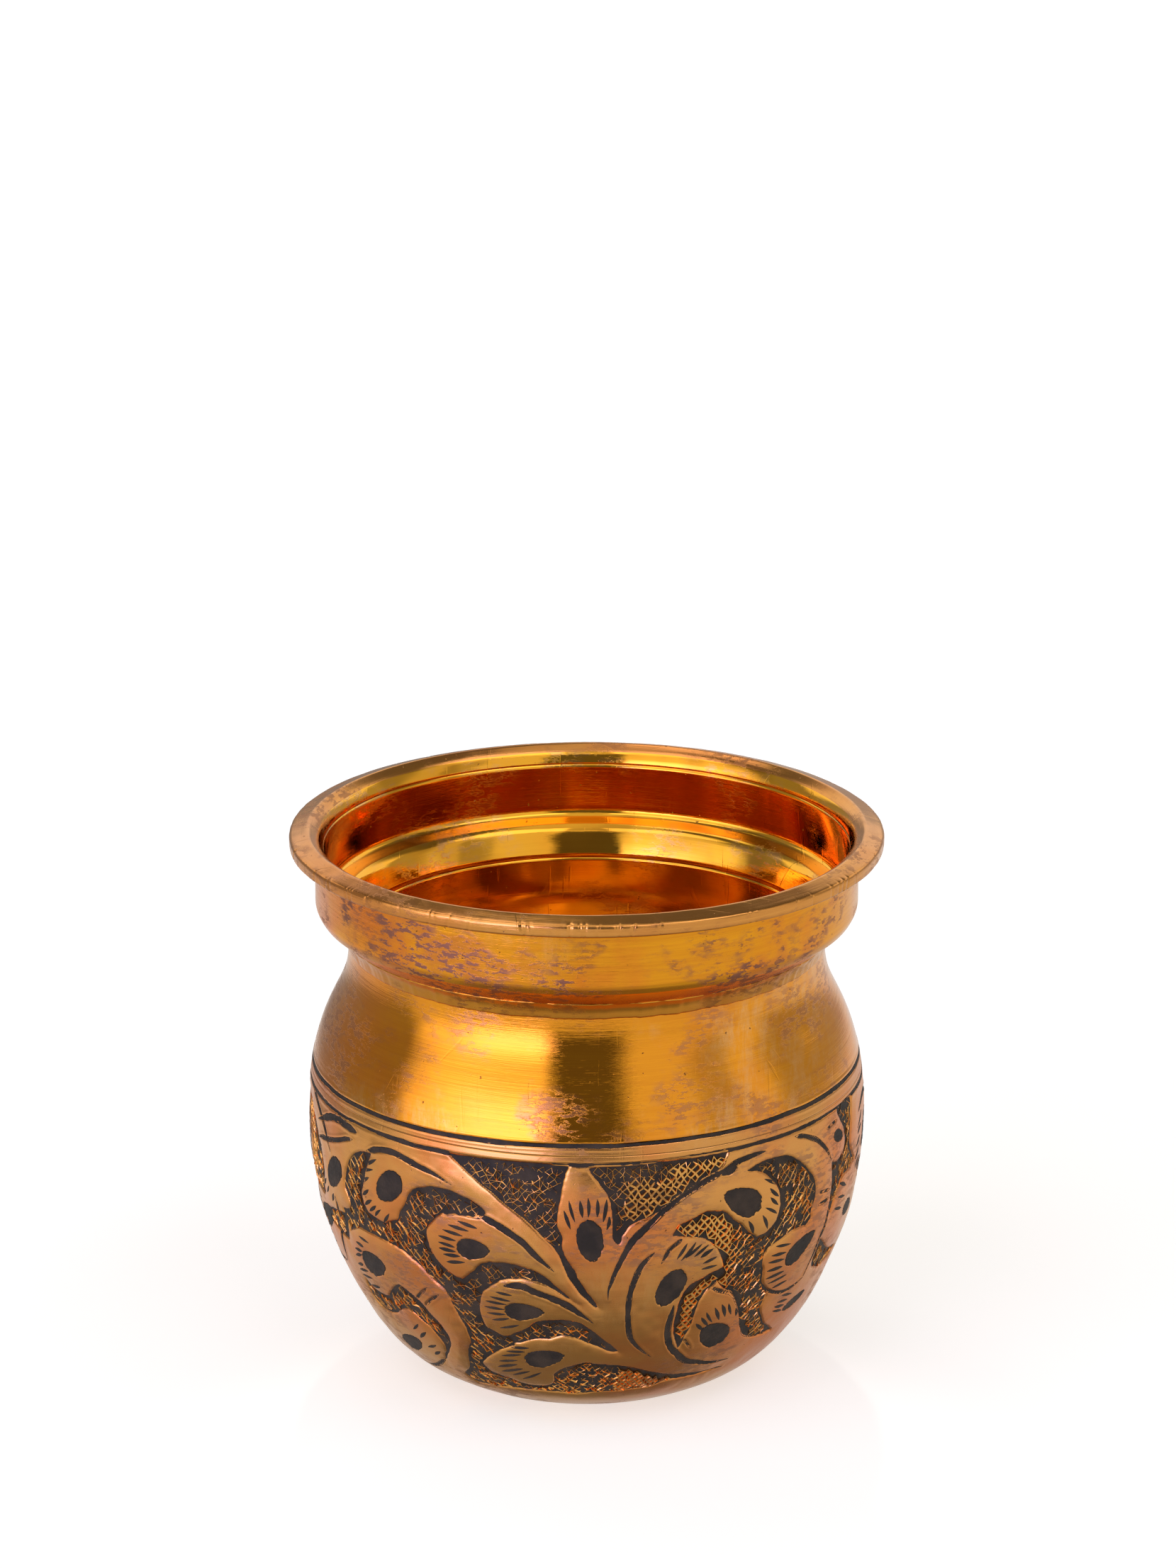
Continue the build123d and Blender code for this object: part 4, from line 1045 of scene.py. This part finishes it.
def make_crests(material):
    """Brass net of thin crests and open lands that the punch leaves standing in the lac."""
    rng = np.random.default_rng(95)
    columns = int(TAU * MEAN_RADIUS / PUNCH_WIDTH)
    rows = int((JOINT_ARC - PUNCH_FOOT_ARC) / PUNCH_RISE)
    turn = 360 / columns
    row, column = np.mgrid[0:rows, 0:columns]
    sideways = rng.uniform(-SIDE_SHIFT, SIDE_SHIFT, row.shape)
    azimuth = (column + 0.5 * (row % 2) + sideways) * turn
    arc = PUNCH_FOOT_ARC + (row + rng.uniform(-RISE_SHIFT, RISE_SHIFT, row.shape)) * PUNCH_RISE
    crest = CREST_TOP + rng.normal(0, HEIGHT_SPREAD, row.shape)
    crest[rng.random(row.shape) < WORN_SHARE] = GROUND_LAC - 0.12
    points = []
    faces = []
    index = {}

    def corner(place):
        """Number of a crest's top point. The next number is its foot."""
        key = place[0], place[1] % columns
        if key not in index:
            index[key] = len(points)
            height = LAND_TOP if on_open_land(azimuth[key], arc[key]) else crest[key]
            points.append((azimuth[key], arc[key], height))
            points.append((azimuth[key], arc[key], NET_FOOT))
        return index[key]

    def add_mark(cell, middle_azimuth, land):
        """Faces of one punch mark: the crests round it, its pit and its underside."""
        corners = [corner(place) for place in cell]
        marks = np.array([points[number] for number in corners])
        marks[:, 0] = middle_azimuth + (marks[:, 0] - middle_azimuth + 180) % 360 - 180
        centre = marks.mean(axis=0)
        keep = rng.uniform(0.62, 0.8) if land else rng.uniform(0.9, 0.97)
        first = len(points)
        for mark in marks:
            ring = centre + (mark - centre) * keep
            points.append((ring[0], ring[1], mark[2] - 0.01))
        points.append((centre[0], centre[1], PIT_FLOOR))
        size = len(cell)
        for number in range(size):
            after = (number + 1) % size
            faces.append((corners[number], corners[after], first + after, first + number))
            faces.append((first + number, first + after, first + size))
        faces.append(tuple(number + 1 for number in corners[::-1]))

    for j in range(1, rows - 1):
        level = PUNCH_FOOT_ARC + j * PUNCH_RISE
        for i in range(columns):
            middle_azimuth = (i + 0.5 + 0.5 * (j % 2)) * turn
            if read_grid(GROUND, middle_azimuth, level) < NET_EDGE:
                continue
            left, right, top, low = (j, i), (j, i + 1), (j + 1, i + j % 2), (j - 1, i + j % 2)
            land = on_open_land(middle_azimuth, level)
            choice = rng.random()
            cells = [(left, low, right, top)]
            if choice < SPLIT_UP and not land:
                cells = [(left, low, top), (low, right, top)]
            elif choice < SPLIT_ACROSS and not land:
                cells = [(left, low, right), (left, right, top)]
            for cell in cells:
                add_mark(cell, middle_azimuth, land)

    edges = dict.fromkeys(edge for face in faces for edge in zip(face, face[1:] + face[:1]))
    for start, end in edges:
        outer = (end, start) not in edges and (start + 1, end + 1) not in edges
        if outer and (end + 1, start + 1) in edges:
            faces.append((start, start + 1, end + 1, end))
    places = on_wall(*np.array(points).T)
    return new_piece("punched_crests", places, faces, material, ["bowl"], smooth=False)


# ---- materials -----------------------------------------------------------------------------
def link(tree, source, target):
    tree.links.new(source, target)


def maths(tree, operation, first, second=0.0, clamp=False):
    """A Math node on sockets or plain numbers."""
    node = tree.nodes.new("ShaderNodeMath")
    node.operation = operation
    node.use_clamp = clamp
    for slot, value in zip(node.inputs, (first, second)):
        if isinstance(value, (int, float)):
            slot.default_value = value
        else:
            link(tree, value, slot)
    return node.outputs[0]


def times(tree, first, second):
    return maths(tree, "MULTIPLY", first, second)


def plus(tree, first, second):
    return maths(tree, "ADD", first, second)


def spread(tree, value, low, high, to_low=0.0, to_high=1.0):
    """A value eased from one range to another."""
    node = tree.nodes.new("ShaderNodeMapRange")
    node.interpolation_type = "SMOOTHSTEP"
    link(tree, value, node.inputs["Value"])
    bounds = {"From Min": low, "From Max": high, "To Min": to_low, "To Max": to_high}
    for slot, bound in bounds.items():
        node.inputs[slot].default_value = bound
    return node.outputs["Result"]


def noise(tree, scale, stretch=(1, 1, 1), detail=3.0, rough=0.55, spin=(0, 0, 0)):
    """Noise in the object's own metres, finer along an axis that is stretched more."""
    coordinates = tree.nodes.new("ShaderNodeTexCoord")
    mapping = tree.nodes.new("ShaderNodeMapping")
    mapping.inputs["Scale"].default_value = stretch
    mapping.inputs["Rotation"].default_value = spin
    link(tree, coordinates.outputs["Object"], mapping.inputs["Vector"])
    node = tree.nodes.new("ShaderNodeTexNoise")
    for slot, value in (("Scale", scale), ("Detail", detail), ("Roughness", rough)):
        node.inputs[slot].default_value = value
    link(tree, mapping.outputs["Vector"], node.inputs["Vector"])
    return node.outputs["Fac"]


def blend(tree, share, first, second):
    """Colour between two, by a share. Each is a socket or a plain colour."""
    node = tree.nodes.new("ShaderNodeMix")
    node.data_type = "RGBA"
    link(tree, share, node.inputs["Factor"])
    for slot, value in ((node.inputs[6], first), (node.inputs[7], second)):
        if isinstance(value, tuple):
            slot.default_value = (*value, 1.0)
        else:
            link(tree, value, slot)
    return node.outputs[2]


def bump(tree, height, distance, below=None):
    """Normals of a height in a unit of distance, on top of other normals."""
    node = tree.nodes.new("ShaderNodeBump")
    node.inputs["Distance"].default_value = distance
    node.inputs["Strength"].default_value = 1.0
    link(tree, height, node.inputs["Height"])
    if below is not None:
        link(tree, below, node.inputs["Normal"])
    return node.outputs["Normal"]


def new_material(name):
    material = bpy.data.materials.new(name)
    material.use_nodes = True
    return material, material.node_tree, material.node_tree.nodes["Principled BSDF"]


PAINTED_SHADE_RUN_COLOUR = (0.20, 0.06, 0.008)  # painted shade and painted reflection: the colour of dark runs down the inside of the pot
SCUFF = (0.92, 0.5, 0.19)
PIT = (0.07, 0.035, 0.02)


def brass(
    name, base, blush, tarnish, rough, *,
    blush_amount=0.6, tarnish_amount=0.5, scuff_amount=0.3, turning=1.0, metal=1.0, painted_shade_runs=0.0,
):
    """Brass with lathe lines, warm blushes, tarnish specks, scuffs, pits and fine scratches.

    base, blush and tarnish are colours, and rough is the roughness of the clean metal. turning is
    the strength of the lathe lines. metal is below 1 and the share of painted dark runs above 0
    only inside the pot: those runs are painted shade in the depths of the bowl and painted
    reflection of dark surroundings on the inner wall.
    """
    material, tree, shader = new_material(name)
    lines = noise(tree, 6.0, (6, 6, 260), detail=5.0, rough=0.7)
    fine_lines = noise(tree, 14.0, (5, 5, 420))
    cloud = noise(tree, 38.0, detail=4.0)
    second_cloud = noise(tree, 90.0, (1, 1, 1.6), detail=5.0, rough=0.65, spin=(0.4, 0.2, 0.9))
    specks = noise(tree, 700.0, (0.5, 0.5, 1.5), detail=6.0, rough=0.7)
    clusters = noise(tree, 50.0, (1, 1, 1.5), detail=4.0, rough=0.6, spin=(0.0, 0.3, 2.1))
    pits = noise(tree, 950.0, detail=2.0)
    patches = noise(tree, 26.0, (1, 1, 1.5), detail=6.0, rough=0.7, spin=(0.2, 1.1, 0.3))
    streaks = noise(tree, 55.0, (9, 2, 2), detail=5.0, rough=0.75, spin=(0.5, 0.75, 0.6))
    scratches = noise(tree, 60.0, (14, 1.2, 1.2), detail=2.0, spin=(0.5, 0.8, 0.6))
    more_scratches = noise(tree, 60.0, (1.2, 15, 1.2), detail=2.0, spin=(1.1, 0.2, 0.4))

    warm = times(tree, spread(tree, cloud, 0.42, 0.66), blush_amount)
    colour = blend(tree, warm, base, blush)
    brushed = times(tree, spread(tree, lines, 0.3, 0.75), 0.35 * turning)
    colour = blend(tree, brushed, colour, tuple(0.72 * part for part in blush))
    scuff = times(tree, spread(tree, patches, 0.5, 0.68), spread(tree, streaks, 0.36, 0.66))
    scuff = times(tree, scuff, scuff_amount)
    colour = blend(tree, scuff, colour, SCUFF)
    near = times(tree, spread(tree, clusters, 0.46, 0.6), tarnish_amount)
    halo = times(tree, near, times(tree, spread(tree, second_cloud, 0.4, 0.62), 0.6))
    halo_colour = tuple(0.55 * warm_part + 0.45 * dark for warm_part, dark in zip(blush, tarnish))
    colour = blend(tree, halo, colour, halo_colour)
    grime = times(tree, spread(tree, specks, 0.49, 0.55), near)
    colour = blend(tree, grime, colour, tarnish)
    # painted shade and painted reflection: dark vertical runs on the inside of the pot
    if painted_shade_runs:
        runs = noise(tree, 34.0, (1, 1, 0.06), spin=(0, 0, 0.4))
        colour = blend(tree, times(tree, spread(tree, runs, 0.5, 0.57), painted_shade_runs), colour, PAINTED_SHADE_RUN_COLOUR)
    dark_pits = times(tree, spread(tree, pits, 0.73, 0.78), 0.7)
    colour = blend(tree, dark_pits, colour, PIT)
    link(tree, colour, shader.inputs["Base Color"])

    shader.inputs["Metallic"].default_value = metal
    roughness = plus(tree, rough, times(tree, spread(tree, lines, 0.35, 0.7), 0.035 * turning))
    uneven = spread(tree, cloud, 0.4, 0.7)
    for share, amount in ((grime, 0.35), (scuff, 0.25), (uneven, 0.02), (dark_pits, 0.4)):
        roughness = maths(tree, "ADD", roughness, times(tree, share, amount), clamp=True)
    link(tree, roughness, shader.inputs["Roughness"])

    turned = bump(tree, plus(tree, lines, times(tree, fine_lines, 0.5)), 0.000035 * turning)
    scored = plus(tree, *(spread(tree, marks, 0.66, 0.74) for marks in (scratches, more_scratches)))
    scored = bump(tree, scored, -0.00001, turned)
    marked = plus(tree, times(tree, dark_pits, -1.0), times(tree, grime, 0.35))
    link(tree, bump(tree, marked, 0.00005, scored), shader.inputs["Normal"])
    return material


def lac():
    """Black-brown lac, dull in the hollows and a little shiny where it was wiped."""
    material, tree, shader = new_material("lac_of_fillings")
    cloud = noise(tree, 210.0, detail=4.0)
    crumbs = noise(tree, 1500.0, detail=4.0, rough=0.7)
    brown = noise(tree, 60.0)
    black = blend(tree, spread(tree, cloud, 0.35, 0.7), (0.017, 0.012, 0.009), (0.042, 0.027, 0.017))
    worn = times(tree, spread(tree, brown, 0.6, 0.8), 0.5)
    link(tree, blend(tree, worn, black, (0.085, 0.042, 0.018)), shader.inputs["Base Color"])
    shader.inputs["IOR"].default_value = 1.42
    shader.inputs["Specular IOR Level"].default_value = 0.35
    link(tree, plus(tree, 0.42, times(tree, crumbs, 0.34)), shader.inputs["Roughness"])
    grainy = plus(tree, times(tree, cloud, 1.6), crumbs)
    link(tree, bump(tree, grainy, 0.00009), shader.inputs["Normal"])
    return material


# ---- stage -----------------------------------------------------------------------------------
def on_stage(name, data):
    """An object that belongs to the picture and not to the pot."""
    thing = bpy.data.objects.new(name, data)
    bpy.context.scene.collection.objects.link(thing)
    return thing


def make_floor():
    """Wide pale floor that gives much of its own light, so that its shadows stay soft."""
    half = 12.0
    below_pot = 0.00005
    corners = [(-half, -half, 0), (half, -half, 0), (half, half, 0), (-half, half, 0)]
    mesh = bpy.data.meshes.new("studio_floor")
    mesh.from_pydata(corners, [], [(0, 1, 2, 3)])
    floor = on_stage("studio_floor", mesh)
    floor.location.z = -below_pot
    floor.visible_glossy = False
    material, tree, shader = new_material("pale_floor")
    shader.inputs["Base Color"].default_value = (0.6, 0.6, 0.585, 1)
    shader.inputs["Roughness"].default_value = 1.0
    shader.inputs["Specular IOR Level"].default_value = 0.0
    shader.inputs["Emission Color"].default_value = (1.0, 0.982, 0.938, 1)
    shader.inputs["Emission Strength"].default_value = 0.615
    mesh.materials.append(material)


# What the brass mirrors: azimuth from and to, elevation from and to, the softness of those four
# edges, all in degrees, and brightness. Azimuth 0 is the front of the pot. Later rows lie on top.
STUDIO = (
    ((-180, 180, -95, -6), (0, 0, 0, 10), 0.76),
    ((-180, 180, -95, -32), (0, 0, 0, 20), 0.5),
    ((-180, 180, -95, -58), (0, 0, 0, 16), 0.22),
    ((17, 86, -4, 46), (3, 14, 6, 6), 0.8),
    ((50, 68, 4, 38), (6, 3, 8, 6), 0.5),
    ((92, 180, -8, 40), (14, 0, 8, 8), 0.42),
    ((-180, -84, -8, 40), (0, 12, 8, 8), 0.28),
    ((92, 180, 38, 72), (14, 0, 8, 8), 0.16),
    ((-180, -84, 38, 72), (0, 12, 8, 8), 0.16),
    ((-180, -90, -16, 10), (0, 10, 8, 4), 0.3),
    ((112, 180, 12, 34), (8, 0, 6, 8), 1.0),
    ((-180, -116, 14, 34), (0, 8, 6, 8), 1.0),
    ((-76, -18, -7, 46), (30, 3, 6, 12), 1.1),
    ((-76, -18, -7, 26), (30, 3, 6, 24), 1.7),
    ((-56, -18, -7, 19), (22, 3, 5, 20), 2.9),
    ((-90, 90, 46, 68), (20, 20, 3, 8), 1.7),
    ((-17, 17, -8, 44), (2, 2, 4, 2), 0.13),
    ((-15, 15, 48, 68), (3, 3, 4, 6), 0.6),
    ((-180, 180, 72, 95), (0, 0, 10, 0), 0.7),
    ((-175, -125, 52, 74), (14, 14, 8, 8), 1.5),
)
STUDIO_REST = 0.5
LIGHT_TINT = (1.0, 0.97, 0.93)
PLAIN_ROOM = (1.0, 0.985, 0.955)
GLARE_TINT = (0.0, -0.08, 0.8)
SWAY = 14.0  # how far the edges of the windows wander, in degrees


def window(tree, value, start, end, soft, limit):
    """1 between two angles and 0 outside them. An edge at the limit stays open."""
    mask = 1.0
    if abs(start) < limit:
        mask = spread(tree, value, start - soft[0] / 2, start + soft[0] / 2)
    if abs(end) < limit:
        fall = spread(tree, value, end - soft[1] / 2, end + soft[1] / 2, 1.0, 0.0)
        mask = times(tree, mask, fall)
    return mask


def make_world():
    """A plain pale room for the camera, and a studio that lights the pot and shows in its brass."""
    world = bpy.data.worlds.new("studio")
    bpy.context.scene.world = world
    world.use_nodes = True
    tree = world.node_tree
    shader = tree.nodes["Background"]
    coordinates = tree.nodes.new("ShaderNodeTexCoord")
    parts = tree.nodes.new("ShaderNodeSeparateXYZ")
    link(tree, coordinates.outputs["Generated"], parts.inputs[0])
    back = times(tree, parts.outputs["Y"], -1.0)
    azimuth = times(tree, maths(tree, "ARCTAN2", parts.outputs["X"], back), 360 / TAU)
    elevation = times(tree, maths(tree, "ARCSINE", parts.outputs["Z"]), 360 / TAU)
    wave = tree.nodes.new("ShaderNodeTexNoise")
    wave.inputs["Scale"].default_value = 5.0
    wave.inputs["Detail"].default_value = 2.0
    link(tree, coordinates.outputs["Generated"], wave.inputs["Vector"])
    sway = times(tree, maths(tree, "SUBTRACT", wave.outputs["Fac"], 0.5), SWAY)
    wavy = plus(tree, azimuth, sway)
    light = STUDIO_REST
    for (start, end, low, high), soft, strength in STUDIO:
        mask = times(tree, window(tree, wavy, start, end, soft[:2], 180),
                     window(tree, elevation, low, high, soft[2:], 90))
        rest = times(tree, light, maths(tree, "SUBTRACT", 1.0, mask))
        light = plus(tree, rest, times(tree, mask, strength))
    glare = maths(tree, "MAXIMUM", maths(tree, "SUBTRACT", light, 1.0), 0.0)
    glare = times(tree, glare, glare)
    studio = tree.nodes.new("ShaderNodeCombineColor")
    for channel, tint, shift in zip(studio.inputs, LIGHT_TINT, GLARE_TINT):
        link(tree, plus(tree, times(tree, light, tint), times(tree, glare, shift)), channel)
    path = tree.nodes.new("ShaderNodeLightPath")
    seen = blend(tree, path.outputs["Is Camera Ray"], studio.outputs[0], PLAIN_ROOM)
    link(tree, seen, shader.inputs["Color"])


def make_mouth_light():
    """Soft light from above and behind that falls through the mouth on the front of the inside."""
    lamp = bpy.data.lights.new("mouth_light", "SPOT")
    lamp.energy = 20.0
    lamp.color = (1.0, 0.95, 0.88)
    lamp.spot_size = math.radians(11)
    lamp.spot_blend = 0.5
    lamp.shadow_soft_size = 0.04
    distance = 0.6
    rise = math.radians(44)
    aim_y, aim_z = -0.03, 0.07
    light = on_stage("mouth_light", lamp)
    light.location = (0, aim_y + distance * math.cos(rise), aim_z + distance * math.sin(rise))
    light.rotation_euler = (rise - math.pi / 2, 0, 0)
    light.visible_glossy = False


def make_camera():
    """Long lens a little above the pot, at the height that shows the mouth and the belly."""
    distance = 1.1
    rise = math.radians(20.6)
    pitch = math.radians(17.68)
    aim_z = LIP_TOP_Z / 2 * MM
    camera = on_stage("camera", bpy.data.cameras.new("camera"))
    camera.location = (0, -distance * math.cos(rise), aim_z + distance * math.sin(rise))
    camera.rotation_euler = (math.pi / 2 - pitch, 0, 0)
    camera.data.lens = 137.0
    camera.data.sensor_width = 36.0
    camera.data.shift_x = 0.0009
    camera.data.clip_start = 0.05
    camera.data.clip_end = 60
    bpy.context.scene.camera = camera


# ---- the whole pot ---------------------------------------------------------------------------
bpy.context.scene.view_settings.view_transform = "Standard"
make_camera()
make_world()
make_mouth_light()
make_floor()

lip_brass = brass("brass_of_lip", (0.80, 0.36, 0.08), (0.76, 0.27, 0.07), (0.32, 0.13, 0.06), 0.15)
collar_brass = brass(
    "brass_of_collar", (0.93, 0.39, 0.02), (0.88, 0.23, 0.03), (0.33, 0.14, 0.085), 0.15,
    blush_amount=0.85, tarnish_amount=1.0, scuff_amount=0.35,
)
shoulder_brass = brass(
    "brass_of_shoulder", (0.94, 0.37, 0.024), (0.9, 0.28, 0.03), (0.5, 0.21, 0.1), 0.03,
    blush_amount=0.75, tarnish_amount=0.6, scuff_amount=0.75,
)
inner_brass = brass(
    "brass_of_inside", (0.99, 0.49, 0.04), (0.98, 0.39, 0.025), (0.7, 0.4, 0.25), 0.025,
    # weaker dark runs: painted reflection of dark surroundings on the inner wall
    tarnish_amount=0.4, scuff_amount=0.15, turning=0.4, painted_shade_runs=0.3,
)
deep_brass = brass(
    "brass_of_depths", (0.98, 0.5, 0.03), (0.96, 0.36, 0.02), (0.4, 0.15, 0.03), 0.06,
    # stronger dark runs: painted shade in the depths of the bowl
    scuff_amount=0.1, turning=0.4, metal=0.45, painted_shade_runs=0.75,
)
bowl_brass = brass(
    "brass_of_bowl", (0.80, 0.375, 0.1), (0.78, 0.24, 0.065), (0.36, 0.19, 0.12), 0.25,
    blush_amount=0.9, tarnish_amount=0.55, turning=0.3,
)
crest_brass = brass(
    "brass_of_crests", (0.84, 0.43, 0.11), (0.78, 0.32, 0.08), (0.2, 0.1, 0.05), 0.24, turning=0.2,
)
braze_metal = brass(
    "metal_of_braze", (0.80, 0.34, 0.04), (0.70, 0.22, 0.03), (0.24, 0.11, 0.04), 0.2,
    blush_amount=0.7, tarnish_amount=0.6, turning=0.2,
)
black = lac()

resurface(make_bowl(bowl_brass), deep_brass, deep_inside)
make_crests(crest_brass)
shoulder = resurface(make_shoulder(shoulder_brass), inner_brass, looks_inwards)
resurface(shoulder, bowl_brass, under_ring)
resurface(make_collar(collar_brass), inner_brass, looks_inwards)
resurface(make_lip(lip_brass), inner_brass, looks_inwards)
make_brazes(braze_metal)
make_ground_fill(black)
make_cut_fills(black)
make_eye_fills(black)
make_barb_fills(black)
make_ring_fill("upper_ring_fill", upper_ring_arc, UPPER_RING_WIDTH, 72, black, "upper_ring_lac")
make_ring_fill("lower_ring_fill", lower_ring_arc, LOWER_RING_WIDTH, 74, black, "lower_ring_lac")
